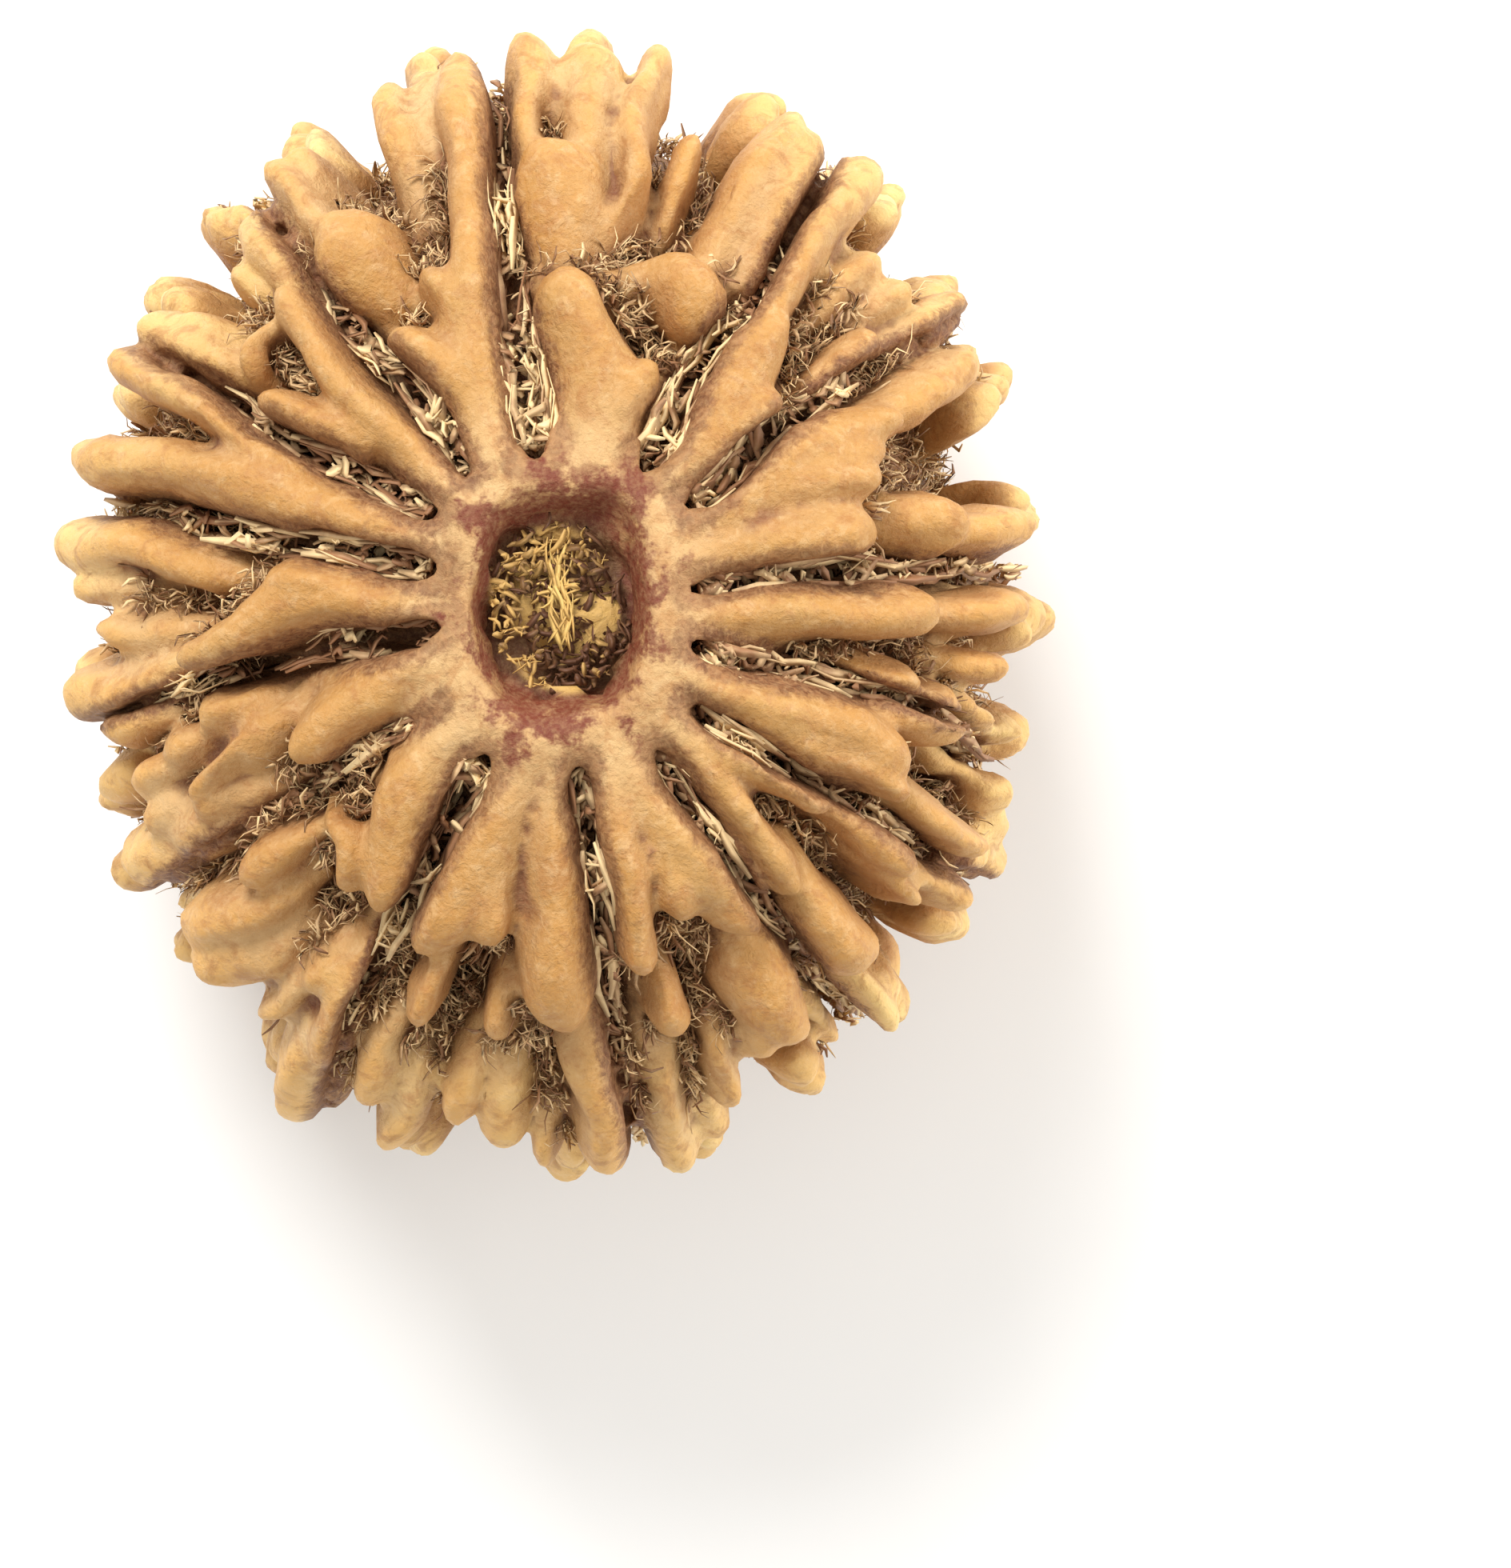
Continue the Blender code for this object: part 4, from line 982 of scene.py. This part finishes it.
def cord_strand(draw, k):
    """Strand k of the cord along the pit, each fourth of which lies across it."""
    aside = draw.gauss(0, 0.09)
    crosswise = k % 4 == 3
    reach = 1.1 if crosswise else draw.uniform(1.0, 2.6)
    start = draw.uniform(-0.1, 0.1) if crosswise else draw.uniform(-2.0, 0.0)
    points = []
    for n in range(CORD_POINTS):
        t = n / (CORD_POINTS - 1)
        wander = aside + CORD_WANDER * noise.noise(Vector((1.4 * t + start, k * 0.15, 2.0)))
        height = PIT_FLOOR + 0.45 + 0.25 * noise.noise(Vector((3 * t, k, 5.0)))
        if crosswise:
            spot = Vector((reach * (t - 0.5), 0.3 + wander, height))
        else:
            spot = Vector((0.05 + wander, 1.9 + start - reach * t, height))
        points.append(grown(spot))
    return points, draw.uniform(*CORD_HALF), draw.random()


class Nodes:
    """Short calls for a material's node tree."""

    def __init__(self, name):
        self.material = bpy.data.materials.new(name)
        self.material.use_nodes = True
        self.tree = self.material.node_tree
        self.surface = self.tree.nodes["Principled BSDF"].inputs

    def link(self, source, target):
        self.tree.links.new(source, target)

    def new(self, kind, **numbers):
        """A new node. The names of its numbers have an underscore for each space."""
        node = self.tree.nodes.new("ShaderNode" + kind)
        for name, number in numbers.items():
            node.inputs[name.replace("_", " ")].default_value = number
        return node

    def value(self, name):
        node = self.new("Attribute")
        node.attribute_name = name
        return node.outputs["Fac"]

    def noise(self, scale, detail=4.0, roughness=0.55, distortion=0.0):
        """Noise by object position, at this many waves to the millimetre."""
        node = self.new(
            "TexNoise", Scale=scale / MM, Detail=detail, Roughness=roughness, Distortion=distortion,
        )
        self.link(self.new("TexCoord").outputs["Object"], node.inputs["Vector"])
        return node.outputs["Fac"]

    def span(self, source, low, high, to_low=0.0, to_high=1.0):
        """The source's range low to high mapped to another range, and held at its ends."""
        node = self.new("MapRange", From_Min=low, From_Max=high, To_Min=to_low, To_Max=to_high)
        node.interpolation_type = "SMOOTHSTEP"
        self.link(source, node.inputs["Value"])
        return node.outputs["Result"]

    def math(self, operation, first, second):
        node = self.new("Math")
        node.operation = operation
        self.link(first, node.inputs[0])
        self.link(second, node.inputs[1])
        return node.outputs["Value"]

    def strayed(self, source, by, amount, low=0.3, high=0.7):
        """The source, moved down and up by this amount with the range low to high of a noise."""
        return self.math("ADD", source, self.span(by, low, high, -amount, amount))

    def mix(self, share, first, second):
        """A colour between two colours or colour outputs."""
        node = self.new("Mix")
        node.data_type = "RGBA"
        self.link(share, node.inputs["Factor"])
        for socket, colour in zip((node.inputs[6], node.inputs[7]), (first, second)):
            if isinstance(colour, tuple):
                socket.default_value = (*colour, 1)
            else:
                self.link(colour, socket)
        return node.outputs[2]

    def paint(self, base, colour, source, low, high, share_low=0.0, share_high=1.0):
        """The base with a colour over it, by the share that the source's range is mapped to."""
        return self.mix(self.span(source, low, high, share_low, share_high), base, colour)

    def bump(self, height, distance, strength, below=None):
        node = self.new("Bump", Strength=strength, Distance=distance * MM)
        self.link(height, node.inputs["Height"])
        if below is not None:
            self.link(below, node.inputs["Normal"])
        return node.outputs["Normal"]


def lobe_colour(nodes, wide, haze):
    """Beige stems and tan or golden tips, paler by the pit, with painted light: a painted highlight that
    turns the tips paler gold towards the waist, and painted shade that browns the crown and the walls that
    face away from the outline.
    """
    poleward = nodes.value("poleward")
    blots = nodes.noise(0.23, detail=3.0)
    smudges = nodes.noise(1.1, detail=5.0, roughness=0.7, distortion=0.8)
    # Painted highlight: towards the waist the tips turn paler gold, added to the random gold blots.
    waistward = nodes.span(poleward, 0.2, 0.75, 0.5, 0.0)
    gold_and_highlight = nodes.math("ADD", nodes.span(blots, 0.48, 0.68, 0.0, 0.7), waistward)
    near_pit = nodes.span(nodes.value("pit_share"), 1.4, 2.2, 0.85, 0.0)
    plateau = nodes.math("MULTIPLY", near_pit, nodes.value("upper"))
    colour = nodes.paint(STEM_BEIGE, TIP_TAN, wide, 0.1, 0.75)
    colour = nodes.mix(gold_and_highlight, colour, TIP_GOLD)
    # Painted shade: the lobes grow browner towards the crown.
    colour = nodes.paint(colour, CROWN_TAN, poleward, 0.4, 0.85, 0.0, 0.75)
    colour = nodes.mix(plateau, colour, PLATEAU_PALE)
    colour = nodes.paint(colour, WALL_BROWN, smudges, 0.46, 0.66, 0.0, 0.65)
    colour = nodes.paint(colour, HAZE, haze, 0.48, 0.72, 0.0, 0.4)
    # Painted shade: the walls that face away from the bead's outline are browned.
    return nodes.paint(colour, WALL_BROWN, nodes.value("facing"), 0.0, 0.75, 0.8, 0.0)


def valley_colour(nodes, colour, wide, height, lint):
    """The colour with painted shade in the valleys, partly the brown of the fibre in them: dark brown in
    the low hollows, paler where the lint noise is high, and dark red in the narrow creases.
    """
    deep = nodes.paint(VALLEY_FIBRE_AND_SHADE_BROWN, LINT_AND_SHADE_BROWN, lint, 0.35, 0.7)
    # Painted shade, partly the brown of the fibre there: low, shut-in hollows take the dark brown.
    low = nodes.span(height, 0.25, 0.68, 1.0, 0.0)
    shut_in = nodes.span(wide, -0.1, 0.3, 1.0, 0.0)
    colour = nodes.mix(nodes.math("MULTIPLY", low, shut_in), colour, deep)
    colour = nodes.paint(colour, deep, wide, -0.45, 0.08, 1.0, 0.0)
    # Painted shade: the narrow creases turn dark red.
    return nodes.paint(colour, CREASE_SHADE_RED, nodes.value("crest_near"), -0.16, -0.04, 0.75, 0.0)


def cleft_colour(nodes, colour, height, haze, lint):
    """The colour with frayed dark lips along the clefts, strewn with straw."""
    edge = nodes.strayed(nodes.value("cleft_edge"), haze, 0.12, 0.35, 0.65)
    lip = nodes.span(edge, 0.0, 0.32, 1.0, 0.0)
    lower_lip = nodes.math("MULTIPLY", lip, nodes.span(height, 0.7, 1.0, 1.0, 0.7))
    return nodes.mix(lower_lip, colour, nodes.paint(CLEFT_BROWN, STRAW_BROWN, lint, 0.4, 0.65))


def pit_colour(nodes, colour):
    """The colour with the pit in it: a rosy border, a red rim and a floor of golden pith with painted
    shade in its hollows.
    """
    ragged = nodes.noise(1.1, roughness=0.7)
    rim = nodes.strayed(nodes.value("pit_rays"), ragged, 0.25)
    # Painted shade: the pith is dark brown in its hollows and golden on its crumbs.
    pith = nodes.paint(PITH_BROWN, PITH_GOLD, nodes.value("crest_near"), -0.03, 0.14)
    colour = nodes.paint(colour, PLATEAU_ROSE, rim, 1.1, 1.6, 0.4, 0.0)
    colour = nodes.paint(colour, PIT_RED, rim, 0.92, 1.22, 1.0, 0.0)
    return nodes.paint(colour, pith, nodes.value("pit_share"), 0.76, 0.9, 1.0, 0.0)


def stone_material():
    """The stone: matt, finely grained, and coloured by its lobes, valleys, clefts and upper pit."""
    nodes = Nodes("stone")
    patches = nodes.noise(0.5, roughness=0.6)
    haze = nodes.noise(1.9, detail=6.0, roughness=0.75, distortion=0.4)
    lint = nodes.noise(2.6, roughness=0.7, distortion=1.5)
    grain = nodes.noise(6.0, detail=5.0, roughness=0.65)
    wide = nodes.strayed(nodes.value("crest_wide"), patches, 0.14)
    height = nodes.strayed(nodes.value("rise"), patches, 0.07)
    colour = lobe_colour(nodes, wide, haze)
    colour = valley_colour(nodes, colour, wide, height, lint)
    colour = cleft_colour(nodes, colour, height, haze, lint)
    colour = pit_colour(nodes, colour)
    colour = nodes.paint(colour, STEM_BEIGE, grain, 0.35, 0.75, 0.0, 0.25)
    nodes.link(colour, nodes.surface["Base Color"])
    nodes.link(nodes.span(grain, 0.3, 0.7, 0.42, 0.6), nodes.surface["Roughness"])
    pores = nodes.bump(grain, 0.07, 0.7)
    linted = nodes.bump(lint, 0.14, 0.45, pores)
    nodes.link(nodes.bump(nodes.noise(1.2), 0.2, 0.5, linted), nodes.surface["Normal"])
    nodes.surface["Specular IOR Level"].default_value = 0.25
    return nodes.material


def strand_material(name, dark, pale):
    """Matt fibre between two colours, by each strand's tone."""
    nodes = Nodes(name)
    tone = nodes.strayed(nodes.value("tone"), nodes.noise(1.5), 0.2)
    nodes.link(nodes.paint(dark, pale, tone, 0.05, 0.85), nodes.surface["Base Color"])
    nodes.surface["Roughness"].default_value = 0.6
    return nodes.material


def fine_bead():
    bead = make_bead("stone_fine")
    add_waves(bead.data)
    add_values(bead.data)
    bead.data.materials.clear()
    bead.data.materials.append(stone_material())
    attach(bead, "root")
    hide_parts("rudraksha_bead")
    return bead


def add_fibres(bead):
    """Adds the straw of the clefts, the hair of the valleys, and the mat and the cord in the pit."""
    strands_object("cleft_fibre", cleft_strands(), strand_material("straw", STRAW_BROWN, STRAW))
    hair_look = strand_material("hair", HAIR_BROWN, HAIR_STRAW)
    for name, low, high in VALLEY_BANDS:
        strands_object("valley_fibre_" + name, valley_strands(bead.data, low, high), hair_look)
    draw = random.Random(PITH_SEED)
    pith = [pith_strand(draw) for _ in range(PIT_STRANDS)]
    cord = [cord_strand(draw, k) for k in range(CORD_STRANDS)]
    strands_object("pit_fibre", pith, strand_material("pith", PITH_BROWN, PITH_GOLD))
    strands_object("pit_cord", cord, strand_material("cord", PITH_GOLD, CORD_GOLD))


def add_floor():
    bpy.ops.mesh.primitive_plane_add(size=FLOOR_SIDE * MM)
    floor = bpy.context.object
    floor.name = "floor"
    nodes = Nodes("floor_white")
    nodes.surface["Base Color"].default_value = (*FLOOR_WHITE, 1)
    nodes.surface["Roughness"].default_value = 0.8
    floor.data.materials.append(nodes.material)


def add_light(name, place, side, watts):
    """A soft square light at a place in millimetres, facing the bead."""
    data = bpy.data.lights.new(name, "AREA")
    data.size = side * MM
    data.energy = watts
    lamp = placed(name, data)
    lamp.location = Vector(place) * MM
    lamp.rotation_euler = (Vector((0, 0, CENTRE_Z)) - Vector(place)).to_track_quat("-Z", "Y").to_euler()


def add_sky():
    world = bpy.data.worlds.new("studio")
    world.use_nodes = True
    sky = world.node_tree.nodes["Background"]
    sky.inputs["Color"].default_value = (*SKY_WHITE, 1)
    sky.inputs["Strength"].default_value = SKY_STRENGTH
    bpy.context.scene.world = world


def add_camera():
    """A camera straight over the upper pole, which it puts where the photograph has it."""
    data = bpy.data.cameras.new("camera")
    data.sensor_width = SENSOR
    data.lens = SENSOR * CAMERA_ABOVE_WAIST * PX_PER_MM / PHOTO_TALL
    data.shift_x = (PHOTO_WIDE / 2 - POLE_PX[0]) / PHOTO_TALL
    data.shift_y = (POLE_PX[1] - PHOTO_TALL / 2) / PHOTO_TALL
    data.clip_start = MM
    camera = placed("camera", data)
    camera.location = (0, 0, (CENTRE_Z + CAMERA_ABOVE_WAIST) * MM)
    bpy.context.scene.camera = camera


def main():
    bead = fine_bead()
    add_fibres(bead)
    add_floor()
    add_sky()
    for light in LIGHTS:
        add_light(*light)
    add_camera()
    bpy.context.scene.view_settings.view_transform = "Standard"


main()
